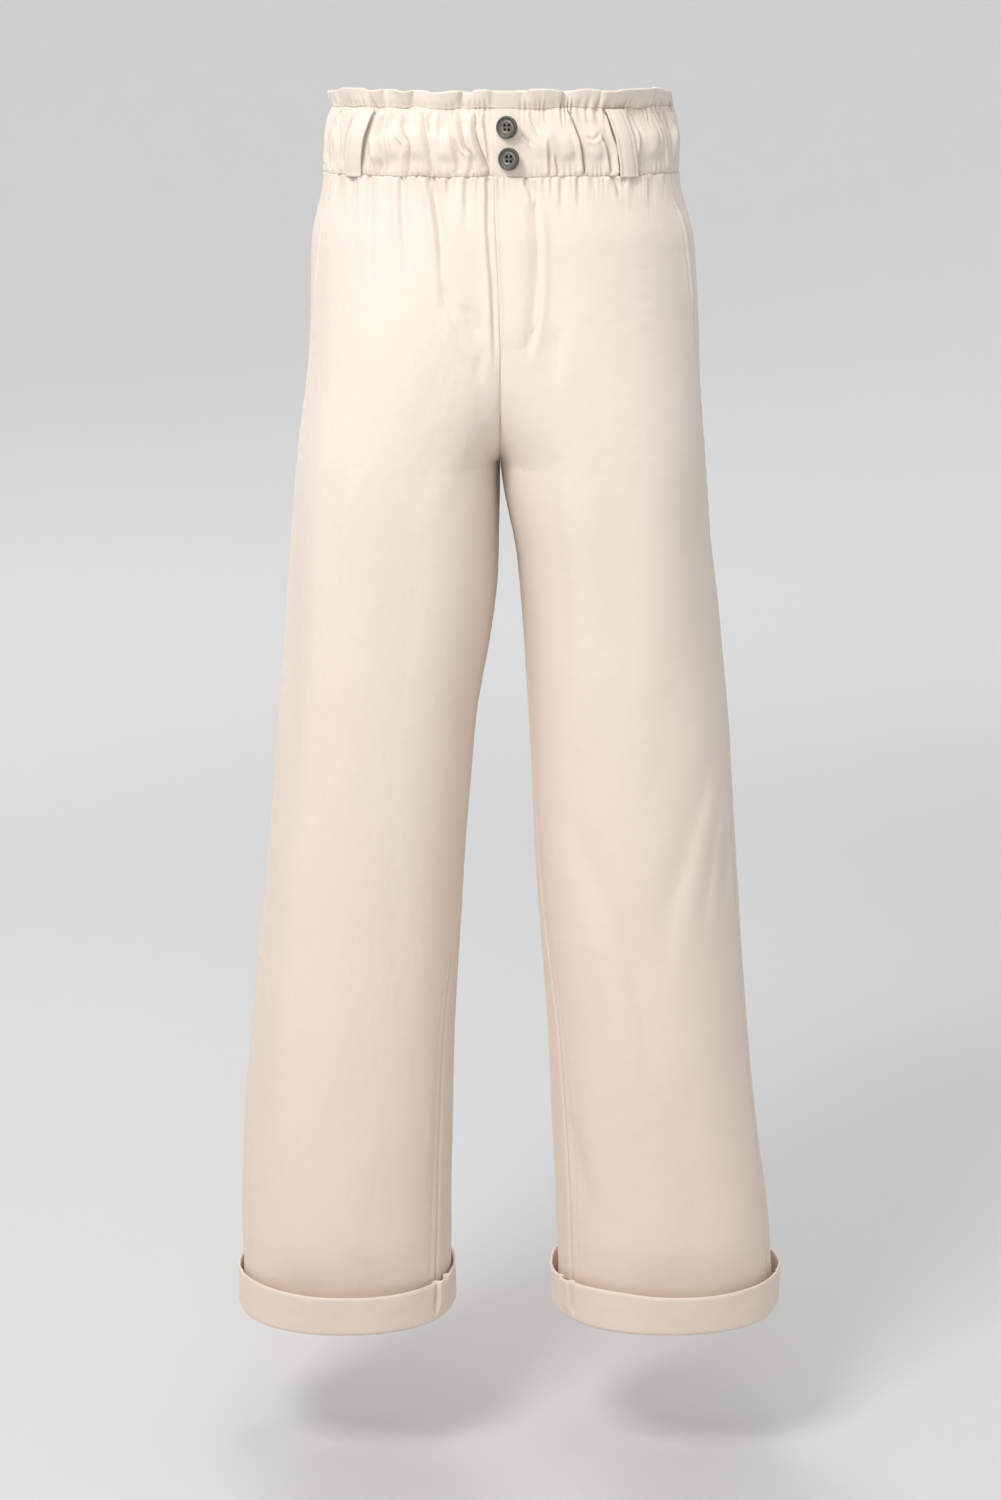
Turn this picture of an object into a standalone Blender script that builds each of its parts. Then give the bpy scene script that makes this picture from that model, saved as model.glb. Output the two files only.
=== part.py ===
"""Paperbag waist trousers: wide turned-up legs, a gathered elastic waistband under a frill, and two buttons.

Metres, +Z up. The origin is the centre of the waistband, where the wearer holds the garment up. The front
faces -Y and the wearer's left is +X. Every cloth piece is a wall: the sections below give its outer face, and
its inner face lies one wall further in. Pieces that are sewn together stay a seam's gap apart.
"""

from collections import namedtuple
from math import asin, atan2, cos, pi, radians, sin, sqrt

import bmesh
import bpy
import numpy as np

COLLECTION = "paperbag_waist_trousers"
CUTTERS = "button_hole_cutters"

# Cloth walls and the gap at seams.
PANEL_WALL = 0.0015
BAND_WALL = 0.0025
CUFF_WALL = 0.0022
LOOP_WALL = 0.0018
FACING_WALL = 0.0012
SEAM_GAP = 0.0003
HALF_GAP = SEAM_GAP / 2

# Heights, from the frill's edge down to the turn-ups' fold.
FRILL_TOP = 0.038
BAND_TOP = 0.025
BAND_BOTTOM = -0.028
PARTING_TOP = -0.050
FLY_BOTTOM = -0.166
CROTCH = -0.262
PANEL_BOTTOM = -0.985
CUFF_TOP = -0.967
CUFF_BOTTOM = -1.004

LEFT = 1
RIGHT = -1

# The garment's half widths and half depths. Each leg's inner reach is 0 down to the crotch. Squareness 2 is
# an ellipse, and more is fuller at its corners.
Section = namedtuple("Section", "height right_outer right_inner left_inner left_outer front back square")
SECTIONS = (
    Section(0.038, 0.1440, 0.0000, 0.0000, 0.1435, 0.0995, 0.1005, 2.1),
    Section(0.025, 0.1410, 0.0000, 0.0000, 0.1405, 0.0970, 0.0985, 2.1),
    Section(-0.002, 0.1455, 0.0000, 0.0000, 0.1455, 0.1005, 0.1020, 2.1),
    Section(-0.028, 0.1440, 0.0000, 0.0000, 0.1455, 0.0990, 0.1010, 2.15),
    Section(-0.083, 0.1530, 0.0000, 0.0000, 0.1570, 0.1050, 0.1120, 2.3),
    Section(-0.181, 0.1590, 0.0000, 0.0000, 0.1640, 0.1080, 0.1180, 2.5),
    Section(-0.262, 0.1690, 0.0000, 0.0000, 0.1700, 0.1070, 0.1160, 2.6),
    Section(-0.348, 0.1770, 0.0020, 0.0140, 0.1770, 0.1040, 0.1120, 2.45),
    Section(-0.485, 0.1885, 0.0215, 0.0240, 0.1920, 0.0980, 0.1040, 2.3),
    Section(-0.624, 0.2010, 0.0310, 0.0310, 0.2020, 0.0920, 0.0960, 2.2),
    Section(-0.766, 0.2150, 0.0390, 0.0410, 0.2140, 0.0870, 0.0890, 2.15),
    Section(-0.911, 0.2230, 0.0415, 0.0470, 0.2320, 0.0800, 0.0820, 2.1),
    Section(-1.004, 0.2250, 0.0420, 0.0480, 0.2400, 0.0770, 0.0790, 2.1),
)
PARTING_POWER = 2.5
PARTING_EASE = 1.4

# Seams. The side seam runs a little forward of the widest point, and the inseam turns forward down the leg.
SIDE_SEAM_TURN = radians(20)
Seam = namedtuple("Seam", "height inseam_turn")
INSEAM = (
    Seam(-0.262, 0.0),
    Seam(-0.450, 8.0),
    Seam(-0.620, 18.0),
    Seam(-0.760, 29.0),
    Seam(-1.004, 32.0),
)
FLY_EDGE_TOP = -0.0045
FLY_WIDTH = 0.0330
FLY_CURVE_TOP = -0.125
FLY_FOOT_SHARE = 0.08
FLY_COLUMNS = 5

# Panel grid: the heights of its rows between the band and the turn-up, and its columns.
ROWS_ABOVE_CROTCH = (-0.042, -0.064, -0.090, -0.116, -0.142, FLY_BOTTOM, -0.200, -0.238)
CROTCH_CURVE_SHARES = (0.42, 0.30, 0.18, 0.08, 0.0)
ROWS_BELOW_CROTCH = (-0.280, -0.348, -0.440, -0.540, -0.640, -0.766, -0.890)
PANEL_COLUMNS = 14
STEADY_TOP = -0.150
STEADY_BOTTOM = -0.340
STEADY_SHARE = 0.45
EDGE_STRIP = 0.004
FINE = 121
EDGE_CALM = 0.10

# Folds of the panels: each runs from (x, z) top to (x, z) low. A negative height is a trough.
Fold = namedtuple("Fold", "face x_top z_top x_low z_low half_width height")
PANEL_FOLDS = (
    Fold("front", -0.112, -0.036, -0.118, -0.130, 0.012, 0.0022),
    Fold("front", -0.080, -0.034, -0.074, -0.175, 0.013, 0.0024),
    Fold("front", -0.056, -0.034, -0.047, -0.140, 0.011, 0.0020),
    Fold("front", -0.086, -0.300, -0.150, -0.720, 0.020, 0.0030),
    Fold("front", 0.052, -0.034, 0.058, -0.150, 0.012, 0.0022),
    Fold("front", 0.090, -0.036, 0.098, -0.170, 0.013, 0.0024),
    Fold("front", 0.120, -0.036, 0.128, -0.120, 0.010, 0.0020),
    Fold("front", 0.100, -0.320, 0.168, -0.800, 0.022, 0.0030),
    Fold("back", -0.108, -0.036, -0.116, -0.150, 0.013, 0.0026),
    Fold("back", -0.074, -0.034, -0.080, -0.120, 0.012, 0.0022),
    Fold("back", -0.046, -0.034, -0.044, -0.160, 0.012, 0.0024),
    Fold("back", -0.110, -0.340, -0.130, -0.820, 0.024, 0.0034),
    Fold("back", 0.044, -0.034, 0.050, -0.130, 0.012, 0.0022),
    Fold("back", 0.080, -0.034, 0.084, -0.165, 0.013, 0.0026),
    Fold("back", 0.112, -0.036, 0.120, -0.120, 0.012, 0.0022),
    Fold("back", 0.112, -0.330, 0.140, -0.780, 0.024, 0.0034),
)
FOLD_RISE = 0.12

# The waistband and the frill are one strip each, lapped over itself under the flat button stand.
RING_COLUMNS = 108
BAND_ROWS = 3
FRILL_ROWS = 1
UNDERLAP = 0.018
TUCK_RUN = 0.014
TUCK_SHARE = 0.8
STAND_MIDDLE = 0.004
STAND_HALF_WIDTH = 0.016
STAND_FLAT_SHARE = 0.5
LOOP_CALM = 0.013
LOOP_FLAT_SHARE = 0.4
WAIST_SAMPLES = 721

# Folds of the band, by their run from the centre front: positive towards the wearer's left.
BandFold = namedtuple("BandFold", "run slant half_width height")
FRONT_BAND_FOLDS = (
    BandFold(-0.0870, 0.008, 0.0065, -0.0026),
    BandFold(-0.0640, 0.010, 0.0060, -0.0022),
    BandFold(-0.0390, 0.012, 0.0060, -0.0024),
    BandFold(-0.0190, 0.012, 0.0055, -0.0026),
    BandFold(0.0270, 0.010, 0.0060, -0.0020),
    BandFold(0.0460, 0.006, 0.0060, -0.0024),
    BandFold(0.0660, 0.008, 0.0060, -0.0028),
)
BAND_EDGE_SHARE = 0.25

# Folds of its sides and back. Each property swings round its middle at its own rate.
Swing = namedtuple("Swing", "middle size rate")
SIDE_FOLD_START = 0.138
SIDE_FOLD_STEP = 0.0205
SIDE_FOLD_COUNT = 13
SIDE_FOLD_SHIFT = Swing(0.0, 0.0040, 2.3)
SIDE_FOLD_SLANT = Swing(0.0, 0.0070, 1.7)
SIDE_FOLD_HALF_WIDTH = Swing(0.0062, 0.0012, 3.1)
SIDE_FOLD_HEIGHT = Swing(-0.0022, 0.0006, 1.3)

# The frill: two waves along it, of which the first drifts, and an edge that dips. Rates: radians a metre.
FRILL_WAVE = 0.0018
FRILL_WAVE_RATE = 250.0
FRILL_DRIFT = 2.0
FRILL_DRIFT_RATE = 37.0
FRILL_SECOND_SHARE = 0.5
FRILL_SECOND_RATE = 143.0
FRILL_SECOND_START = 1.0
FRILL_FOOT_SHARE = 0.2
FRILL_DIP = 0.0025
FRILL_DIP_RATE = 190.0
FRILL_DIP_DRIFT_RATE = 61.0

# Belt loops, by their turn round the waist in degrees from the centre front to the wearer's left.
Loop = namedtuple("Loop", "name top_turn low_turn")
LOOPS = (
    Loop("belt_loop_front_right", -47.0, -52.0),
    Loop("belt_loop_front_left", 38.5, 43.0),
    Loop("belt_loop_back_left", 139.0, 141.0),
    Loop("belt_loop_back_right", -139.0, -141.0),
)
LOOP_WIDTH = 0.016
LoopPoint = namedtuple("LoopPoint", "height gap")
LOOP_PROFILE = (
    LoopPoint(0.0240, 0.0004),
    LoopPoint(0.0205, 0.0052),
    LoopPoint(0.0135, 0.0082),
    LoopPoint(0.0020, 0.0092),
    LoopPoint(-0.0100, 0.0088),
    LoopPoint(-0.0200, 0.0064),
    LoopPoint(-0.0265, 0.0028),
    LoopPoint(-0.0310, 0.0020),
)
LOOP_COLUMNS = 3

# In-seam pockets: a strip behind each mouth.
POCKET_TOP = -0.042
POCKET_BOTTOM = -0.142
POCKET_STRIP = (0.013, 0.007, 0.0015)

# Turn-ups, as (distance out from the leg, height) down the leg, round the fold and up the outside.
CUFF_COLUMNS = 28
CUFF_BEND_STEPS = 3
CUFF_STAND_OFF = 0.0096
CUFF_BELLY = 0.0004
CUFF_FOLD_RADIUS = 0.0046

# Buttons.
Button = namedtuple("Button", "name x height")
BUTTONS = (
    Button("button_upper", 0.0055, 0.0106),
    Button("button_lower", 0.0071, -0.0138),
)
BUTTON_RADIUS = 0.0089
BUTTON_THICKNESS = 0.0030
BUTTON_BACK_SHARE = 0.9
BUTTON_SHANK = 0.0006
BUTTON_HOLE_RADIUS = 0.00085
BUTTON_HOLE_SPACING = 0.0034
BUTTON_YAW = radians(-14)
ROUND_STEPS = 30
HOLE_SIDES = 10
HOLE_DEPTH = 3 * BUTTON_THICKNESS
HOLE_CORNERS = ((-1, -1), (1, -1), (1, 1), (-1, 1))
MERGE_DISTANCE = 0.00001

# The button's profile, from its middle in front round to its back: shares of its radius and its thickness.
BUTTON_PROFILE = (
    (0.0, 0.6),
    (0.45, 0.6),
    (0.55, 0.72),
    (0.72, 0.72),
    (0.80, 1.0),
    (0.93, 1.0),
    (1.0, 0.75),
    (1.0, 0.3),
    (BUTTON_BACK_SHARE, 0.0),
    (0.0, 0.0),
)

CLOTH_COLOUR = (0.80, 0.74, 0.66, 1.0)
METAL_COLOUR = (0.10, 0.10, 0.105, 1.0)
CLOTH_ROUGHNESS = 0.9
METAL_ROUGHNESS = 0.35


def clear_scene():
    for thing in list(bpy.data.objects):
        bpy.data.objects.remove(thing, do_unlink=True)


def make_collection(name, hidden=False):
    made = bpy.data.collections.new(name)
    bpy.context.scene.collection.children.link(made)
    made.hide_render = hidden
    return made


def principled(name, colour, roughness, metallic):
    made = bpy.data.materials.new(name)
    made.use_nodes = True
    shader = made.node_tree.nodes["Principled BSDF"]
    shader.inputs["Base Color"].default_value = colour
    shader.inputs["Roughness"].default_value = roughness
    shader.inputs["Metallic"].default_value = metallic
    made.diffuse_color = colour
    return made


def smoothstep(value):
    value = np.clip(value, 0.0, 1.0)
    return value * value * (3.0 - 2.0 * value)


def smooth_curve(rows, column):
    """A function of height through one column of a table, smooth and with no overshoot."""
    heights = np.array([row.height for row in rows][::-1])
    values = np.array([getattr(row, column) for row in rows][::-1])
    steps = np.diff(heights)
    rises = np.diff(values) / steps
    slopes = np.concatenate([rises[:1], np.zeros(len(rises) - 1), rises[-1:]])
    for i in range(1, len(rises)):
        if rises[i - 1] * rises[i] > 0:
            slopes[i] = 2.0 / (1.0 / rises[i - 1] + 1.0 / rises[i])

    def at(height):
        i = int(np.clip(np.searchsorted(heights, height) - 1, 0, len(steps) - 1))
        t = (height - heights[i]) / steps[i]
        level = values[i] * (1 + 2 * t) * (1 - t) ** 2 + values[i + 1] * t * t * (3 - 2 * t)
        return level + steps[i] * (slopes[i] * t * (1 - t) ** 2 - slopes[i + 1] * t * t * (1 - t))

    return at


def side_name(side):
    return "left" if side == LEFT else "right"


WIDTHS = {
    LEFT: (smooth_curve(SECTIONS, "left_inner"), smooth_curve(SECTIONS, "left_outer")),
    RIGHT: (smooth_curve(SECTIONS, "right_inner"), smooth_curve(SECTIONS, "right_outer")),
}
FRONT_DEPTH = smooth_curve(SECTIONS, "front")
BACK_DEPTH = smooth_curve(SECTIONS, "back")
SQUARENESS = smooth_curve(SECTIONS, "square")
INSEAM_TURN = smooth_curve(INSEAM, "inseam_turn")


def leg_oval(side, height):
    """(centre, half width) of one leg's oval. Above the crotch the two ovals run into each other."""
    inner, outer = (curve(height) for curve in WIDTHS[side])
    if height <= CROTCH:
        return (outer + inner) / 2, (outer - inner) / 2
    down = max(0.0, (PARTING_TOP - height) / (PARTING_TOP - CROTCH))
    parted = 1 - (1 - down**PARTING_POWER) ** PARTING_EASE
    half_width = outer / (1 + parted)
    return outer - half_width, half_width


def fly_edge(height):
    """x of the centre front seam: it swings off centre up the fly, to the placket's edge."""
    return FLY_EDGE_TOP * smoothstep((height - FLY_BOTTOM) / (BAND_BOTTOM - FLY_BOTTOM))


def fullness(turns, height):
    """How much further out than an ellipse the squared oval reaches at a turn."""
    power = SQUARENESS(height)
    return (np.abs(np.cos(turns)) ** power + np.abs(np.sin(turns)) ** power) ** (-1 / power)


def oval_points(side, height, turns, out=0.0):
    """Points of a leg's oval pushed out, by turn from its outer side (0) over the front (+90 degrees)."""
    centre, half_width = leg_oval(side, height)
    depth = np.where(np.sin(turns) > 0, FRONT_DEPTH(height), BACK_DEPTH(height))
    full = fullness(turns, height)
    x = side * (HALF_GAP + centre + (half_width + out) * full * np.cos(turns))
    return np.stack([x, -(depth + out) * full * np.sin(turns)], axis=-1)


def panel_turns(side, face, height):
    """The turns at which a panel starts, at the side seam, and ends, at the centre seam or the inseam."""
    if height <= CROTCH:
        lean = radians(INSEAM_TURN(height))
        return SIDE_SEAM_TURN, (pi - lean if face == "front" else -pi - lean)
    centre, half_width = leg_oval(side, height)
    edge = side * fly_edge(height) if face == "front" else 0.0
    across = float(np.clip((edge - centre) / half_width, -1.0, 1.0))
    power = SQUARENESS(height)
    last = atan2((1 - abs(across) ** power) ** (1 / power), across)
    return SIDE_SEAM_TURN, (last if face == "front" else -last)


def fold_lift(face, x, height):
    """How far the folds of a face push its cloth out at x and a height."""
    lift = np.zeros_like(x)
    for fold in PANEL_FOLDS:
        if fold.face != face:
            continue
        along = (fold.z_top - height) / (fold.z_top - fold.z_low)
        if not 0.0 < along < 1.0:
            continue
        ridge = fold.x_top + (fold.x_low - fold.x_top) * along
        fade = smoothstep(along / FOLD_RISE) * smoothstep((1 - along) / (1 - FOLD_RISE))
        lift += fold.height * fade * np.exp(-(((x - ridge) / fold.half_width) ** 2))
    return lift


def run_along(points):
    """Distance run along a line of points."""
    return np.concatenate([[0.0], np.cumsum(np.linalg.norm(np.diff(points, axis=0), axis=1))])


def panel_outline(side, face, height):
    """Fine points of a panel's section from the side seam inwards, and the distance run along them."""
    first, last = panel_turns(side, face, height)
    outline = oval_points(side, height, np.linspace(first, last, FINE))
    return outline, run_along(outline)


def steady_width(side, face, height):
    """A panel's width with the crotch curve's growth spread out, so that its columns run on steadily."""
    if not STEADY_BOTTOM < height < STEADY_TOP:
        return panel_outline(side, face, height)[1][-1]
    down = smoothstep((STEADY_TOP - height) / (STEADY_TOP - STEADY_BOTTOM))
    upper = panel_outline(side, face, STEADY_TOP)[1][-1]
    lower = panel_outline(side, face, STEADY_BOTTOM)[1][-1]
    return upper + (lower - upper) * down


def panel_row(side, face, height):
    """One row of a panel's outer face, from the side seam inwards, and its outward normals."""
    outline, run = panel_outline(side, face, height)
    end = run[-1] - (HALF_GAP if height <= CROTCH else 0.0)
    share = np.linspace(0.0, 1.0, PANEL_COLUMNS - 2)
    steady = steady_width(side, face, height)
    spread = share * steady + (run[-1] - steady) * smoothstep((share - STEADY_SHARE) / (1 - STEADY_SHARE))
    inner_stations = HALF_GAP + EDGE_STRIP + spread * (end - HALF_GAP - 2 * EDGE_STRIP) / run[-1]
    stations = np.concatenate([[HALF_GAP], inner_stations, [end]])
    slope = np.gradient(outline, axis=0)
    outwards = np.stack([slope[:, 1], -slope[:, 0]], axis=-1)
    outwards *= np.sign(outwards[0, 0] * side)
    outwards /= np.linalg.norm(outwards, axis=1)[:, None]
    points = np.stack([np.interp(stations, run, outline[:, k]) for k in (0, 1)], axis=-1)
    normals = np.stack([np.interp(stations, run, outwards[:, k]) for k in (0, 1)], axis=-1)
    share = stations / end
    calm = smoothstep(share / EDGE_CALM) * smoothstep((1 - share) / EDGE_CALM)
    points += normals * (calm * fold_lift(face, points[:, 0], height))[:, None]
    level = np.full((PANEL_COLUMNS, 1), height)
    return np.hstack([points, level]), np.hstack([normals, np.zeros((PANEL_COLUMNS, 1))])


def object_from(name, vertices, faces, material, collection):
    mesh = bpy.data.meshes.new(name)
    mesh.from_pydata([tuple(v) for v in vertices], [], faces)
    mesh.materials.append(material)
    mesh.shade_smooth()
    made = bpy.data.objects.new(name, mesh)
    collection.objects.link(made)
    return made


def cloth_wall(name, rows, wall, material, collection, turned=False):
    """A sheet through rows of points, thickened inwards. turned is for rows that run the other way round."""
    rows = np.asarray(rows)
    if turned:
        rows = rows[:, ::-1]
    count, width = rows.shape[:2]
    faces = [
        (r * width + c, (r + 1) * width + c, (r + 1) * width + c + 1, r * width + c + 1)
        for r in range(count - 1)
        for c in range(width - 1)
    ]
    made = object_from(name, rows.reshape(-1, 3), faces, material, collection)
    shell = made.modifiers.new("wall", "SOLIDIFY")
    shell.thickness = wall
    shell.offset = -1.0
    return made


def crotch_height(share):
    """The height at which the crotch seam lies a share of the body's depth from the crotch point."""
    parted = (1 - share ** SQUARENESS(CROTCH)) ** (1 / SQUARENESS(CROTCH))
    down = (1 - (1 - parted) ** (1 / PARTING_EASE)) ** (1 / PARTING_POWER)
    return PARTING_TOP + (CROTCH - PARTING_TOP) * down


def panel_heights():
    round_crotch = [crotch_height(share) for share in CROTCH_CURVE_SHARES]
    top, bottom = BAND_BOTTOM - HALF_GAP, PANEL_BOTTOM + HALF_GAP
    return (top, *ROWS_ABOVE_CROTCH, *round_crotch, *ROWS_BELOW_CROTCH, bottom)


def rows_turned(side, face):
    """Whether rows that start at the side seam run clockwise, seen from above, so that faces need turning."""
    return (side == LEFT) == (face == "front")


def build_panel(side, face, material, collection):
    rows = [panel_row(side, face, height)[0] for height in panel_heights()]
    name = f"{face}_{side_name(side)}"
    return cloth_wall(name, rows, PANEL_WALL, material, collection, rows_turned(side, face))


def along_row(row, distances, inset):
    """Points at distances along a panel's row from its first point, moved in from its outer face."""
    points, normals = row
    run = run_along(points)
    at = [np.interp(distances, run, points[:, k]) for k in range(3)]
    facing = [np.interp(distances, run, normals[:, k]) for k in range(3)]
    return np.stack(at, axis=-1) - inset * np.stack(facing, axis=-1)


def fly_width(height):
    """Width of the fly's facing: straight, then rounded in to its foot, as a J."""
    down = np.clip((FLY_CURVE_TOP - height) / (FLY_CURVE_TOP - FLY_BOTTOM), 0.0, 1.0)
    return FLY_WIDTH * sqrt(1.0 - down * down)


def build_fly_facing(material, collection):
    """The facing inside the wearer's-left front, along the fly's edge."""
    foot = FLY_BOTTOM + (FLY_CURVE_TOP - FLY_BOTTOM) * FLY_FOOT_SHARE
    heights = [h for h in panel_heights() if h > FLY_BOTTOM] + [foot]
    rows = []
    for height in heights:
        points, normals = panel_row(LEFT, "front", height)
        shares = np.linspace(0.0, 1.0, FLY_COLUMNS) * fly_width(height)
        from_edge = points[::-1], normals[::-1]
        rows.append(along_row(from_edge, shares, PANEL_WALL + SEAM_GAP))
    return cloth_wall("fly_facing", rows, FACING_WALL, material, collection)


def build_pocket_facing(side, material, collection):
    """A strip behind the mouth of the side seam's pocket, across the seam."""
    rows = []
    for height in (h for h in panel_heights() if POCKET_BOTTOM <= h <= POCKET_TOP):
        inset = PANEL_WALL + SEAM_GAP
        on_front = along_row(panel_row(side, "front", height), np.array(POCKET_STRIP), inset)
        on_back = along_row(panel_row(side, "back", height), np.array(POCKET_STRIP[::-1]), inset)
        rows.append(np.vstack([on_front, on_back]))
    name = f"pocket_facing_{side_name(side)}"
    return cloth_wall(name, rows, FACING_WALL, material, collection, turned=side == RIGHT)


def waist_point(turn, height, out=0.0):
    """A point of the waist ring, by turn from the centre front to the wearer's left, pushed out."""
    width = WIDTHS[LEFT if sin(turn) > 0 else RIGHT][1](height)
    depth = FRONT_DEPTH(height) if cos(turn) > 0 else BACK_DEPTH(height)
    full = fullness(turn, height)
    return np.array([(width + out) * full * sin(turn), -(depth + out) * full * cos(turn), height])


def waist_runs():
    """Distances round the waist from the centre front, at fine steps of turn over the whole ring."""
    turns = np.linspace(-pi, pi, WAIST_SAMPLES)
    points = np.array([waist_point(turn, 0.0) for turn in turns])
    run = run_along(points)
    return turns, run - np.interp(0.0, turns, run)


WAIST_TURNS, WAIST_RUNS = waist_runs()
WAIST_ROUND = WAIST_RUNS[-1] - WAIST_RUNS[0]


def swung(swing, number, side):
    return swing.middle + swing.size * sin(swing.rate * number + side)


def side_band_folds():
    """Folds of the sides and back: the same kind, with uneven steps, widths and depths."""
    folds = []
    for side in (LEFT, RIGHT):
        for k in range(SIDE_FOLD_COUNT):
            run = side * (SIDE_FOLD_START + SIDE_FOLD_STEP * k + swung(SIDE_FOLD_SHIFT, k, side))
            slant = swung(SIDE_FOLD_SLANT, k, side)
            half_width = swung(SIDE_FOLD_HALF_WIDTH, k, side)
            folds.append(BandFold(run, slant, half_width, swung(SIDE_FOLD_HEIGHT, k, side)))
    return folds


BAND_FOLDS = (*FRONT_BAND_FOLDS, *side_band_folds())


def ring_calm(run):
    """0 on the button stand and behind the belt loops, where the band lies flat, and 1 elsewhere."""
    flat = STAND_HALF_WIDTH * STAND_FLAT_SHARE
    calm = smoothstep((abs(run - STAND_MIDDLE) - flat) / (STAND_HALF_WIDTH - flat))
    for loop in LOOPS:
        middle = radians((loop.top_turn + loop.low_turn) / 2)
        distance = abs(run - np.interp(middle, WAIST_TURNS, WAIST_RUNS))
        flat = LOOP_WIDTH * LOOP_FLAT_SHARE
        calm *= smoothstep((distance - flat) / (LOOP_CALM - flat))
    return float(calm)


def band_lift(run, height):
    """How far the gathers push the band out, least at its two rows of stitching."""
    up = (height - BAND_BOTTOM) / (BAND_TOP - BAND_BOTTOM)
    lift = 0.0
    for fold in BAND_FOLDS:
        middle = fold.run + fold.slant * (0.5 - up)
        lift += fold.height * np.exp(-(((run - middle) / fold.half_width) ** 2))
    belly = sin(pi * np.clip(up, 0.0, 1.0))
    return lift * ring_calm(run) * (BAND_EDGE_SHARE + (1 - BAND_EDGE_SHARE) * belly)


def frill_lift(run, height):
    """The frill's waves, which grow from its stitching to its edge."""
    up = (height - BAND_TOP) / (FRILL_TOP - BAND_TOP)
    first = sin(run * FRILL_WAVE_RATE + FRILL_DRIFT * sin(run * FRILL_DRIFT_RATE))
    second = FRILL_SECOND_SHARE * sin(run * FRILL_SECOND_RATE + FRILL_SECOND_START)
    growth = FRILL_FOOT_SHARE + (1 - FRILL_FOOT_SHARE) * up
    return FRILL_WAVE * growth * (first + second) * ring_calm(run)


def frill_dip(run):
    """How far the frill's edge dips at a run round the waist."""
    wave = sin(run * FRILL_DIP_RATE + sin(run * FRILL_DIP_DRIFT_RATE))
    return FRILL_DIP * ring_calm(run) * (1 + wave) / 2


def build_ring(name, low, high, row_count, lift, wall, material, collection):
    """A strip round the waist whose far end tucks in under its near end, at the placket."""
    edge_turn = asin(FLY_EDGE_TOP / WIDTHS[RIGHT][1](0.0))
    lap_turn = asin((FLY_EDGE_TOP + UNDERLAP) / WIDTHS[LEFT][1](0.0))
    turns = np.linspace(edge_turn, 2 * pi + lap_turn, RING_COLUMNS)
    to_edge = 2 * pi + edge_turn
    tuck_turn = TUCK_RUN / WIDTHS[RIGHT][1](0.0)
    rows = []
    for height in np.linspace(high, low, row_count + 1):
        row = []
        for turn in turns:
            wrapped = (turn + pi) % (2 * pi) - pi
            run = np.interp(wrapped, WAIST_TURNS, WAIST_RUNS)
            tuck = smoothstep((turn - (to_edge - tuck_turn)) / (tuck_turn * TUCK_SHARE))
            inward = float(tuck) * (wall + SEAM_GAP)
            point = waist_point(wrapped, height, lift(run, height) - inward)
            if height == FRILL_TOP:
                point[2] -= frill_dip(run)
            row.append(point)
        rows.append(row)
    return cloth_wall(name, rows, wall, material, collection)


def build_belt_loop(loop, material, collection):
    """A strap from the frill's stitching to the band's lower seam, standing off the band for a belt."""
    rows = []
    top, bottom = LOOP_PROFILE[0].height, LOOP_PROFILE[-1].height
    for point in LOOP_PROFILE:
        down = (top - point.height) / (top - bottom)
        middle = radians(loop.top_turn + (loop.low_turn - loop.top_turn) * down)
        centre_run = np.interp(middle, WAIST_TURNS, WAIST_RUNS)
        runs = centre_run + np.linspace(-0.5, 0.5, LOOP_COLUMNS) * LOOP_WIDTH
        turns = np.interp(runs, WAIST_RUNS, WAIST_TURNS)
        rows.append([waist_point(turn, point.height, point.gap + LOOP_WALL) for turn in turns])
    return cloth_wall(loop.name, rows, LOOP_WALL, material, collection)


def cuff_profile():
    """(out, height) pairs round the turn-up's section: down inside, round the fold, up outside and back."""
    outer = []
    inner = []
    bend_centre = CUFF_BOTTOM + CUFF_FOLD_RADIUS
    middle = -PANEL_WALL + CUFF_FOLD_RADIUS
    for step in range(CUFF_BEND_STEPS + 1):
        turn = pi + pi * step / CUFF_BEND_STEPS
        outer.append((middle + CUFF_FOLD_RADIUS * cos(turn), bend_centre + CUFF_FOLD_RADIUS * sin(turn)))
        inside = CUFF_FOLD_RADIUS - CUFF_WALL
        inner.append((middle + inside * cos(turn), bend_centre + inside * sin(turn)))
    start = [(-PANEL_WALL, PANEL_BOTTOM - HALF_GAP)]
    inside_start = [(-PANEL_WALL + CUFF_WALL, PANEL_BOTTOM - HALF_GAP)]
    belly = (CUFF_STAND_OFF - CUFF_BELLY, (CUFF_TOP + bend_centre) / 2)
    rim = (CUFF_STAND_OFF, CUFF_TOP)
    up_outside = [belly, rim]
    down_inside = [(rim[0] - CUFF_WALL, rim[1]), (belly[0] - CUFF_WALL, belly[1])]
    return start + outer + up_outside + down_inside + inner[::-1] + inside_start


def build_cuff(side, material, collection):
    """The turn-up: the leg's own end, folded outwards and up, held as one ring."""
    profile = cuff_profile()
    turns = np.linspace(0.0, 2 * pi, CUFF_COLUMNS, endpoint=False)
    vertices = []
    for out, height in profile:
        ring = oval_points(side, height, turns, out)
        vertices += [(x, y, height) for x, y in ring]
    count = len(profile)
    faces = []
    for r in range(count):
        for c in range(CUFF_COLUMNS):
            across = (c + 1) % CUFF_COLUMNS
            below = (r + 1) % count
            faces.append(
                (
                    r * CUFF_COLUMNS + c,
                    r * CUFF_COLUMNS + across,
                    below * CUFF_COLUMNS + across,
                    below * CUFF_COLUMNS + c,
                )
            )
    made = object_from(f"cuff_{side_name(side)}", vertices, faces, material, collection)
    face_outwards(made)
    return made


def face_outwards(made):
    """Turns a closed mesh's faces so that they all point out."""
    shape = bmesh.new()
    shape.from_mesh(made.data)
    bmesh.ops.recalc_face_normals(shape, faces=shape.faces)
    shape.to_mesh(made.data)
    shape.free()


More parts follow.
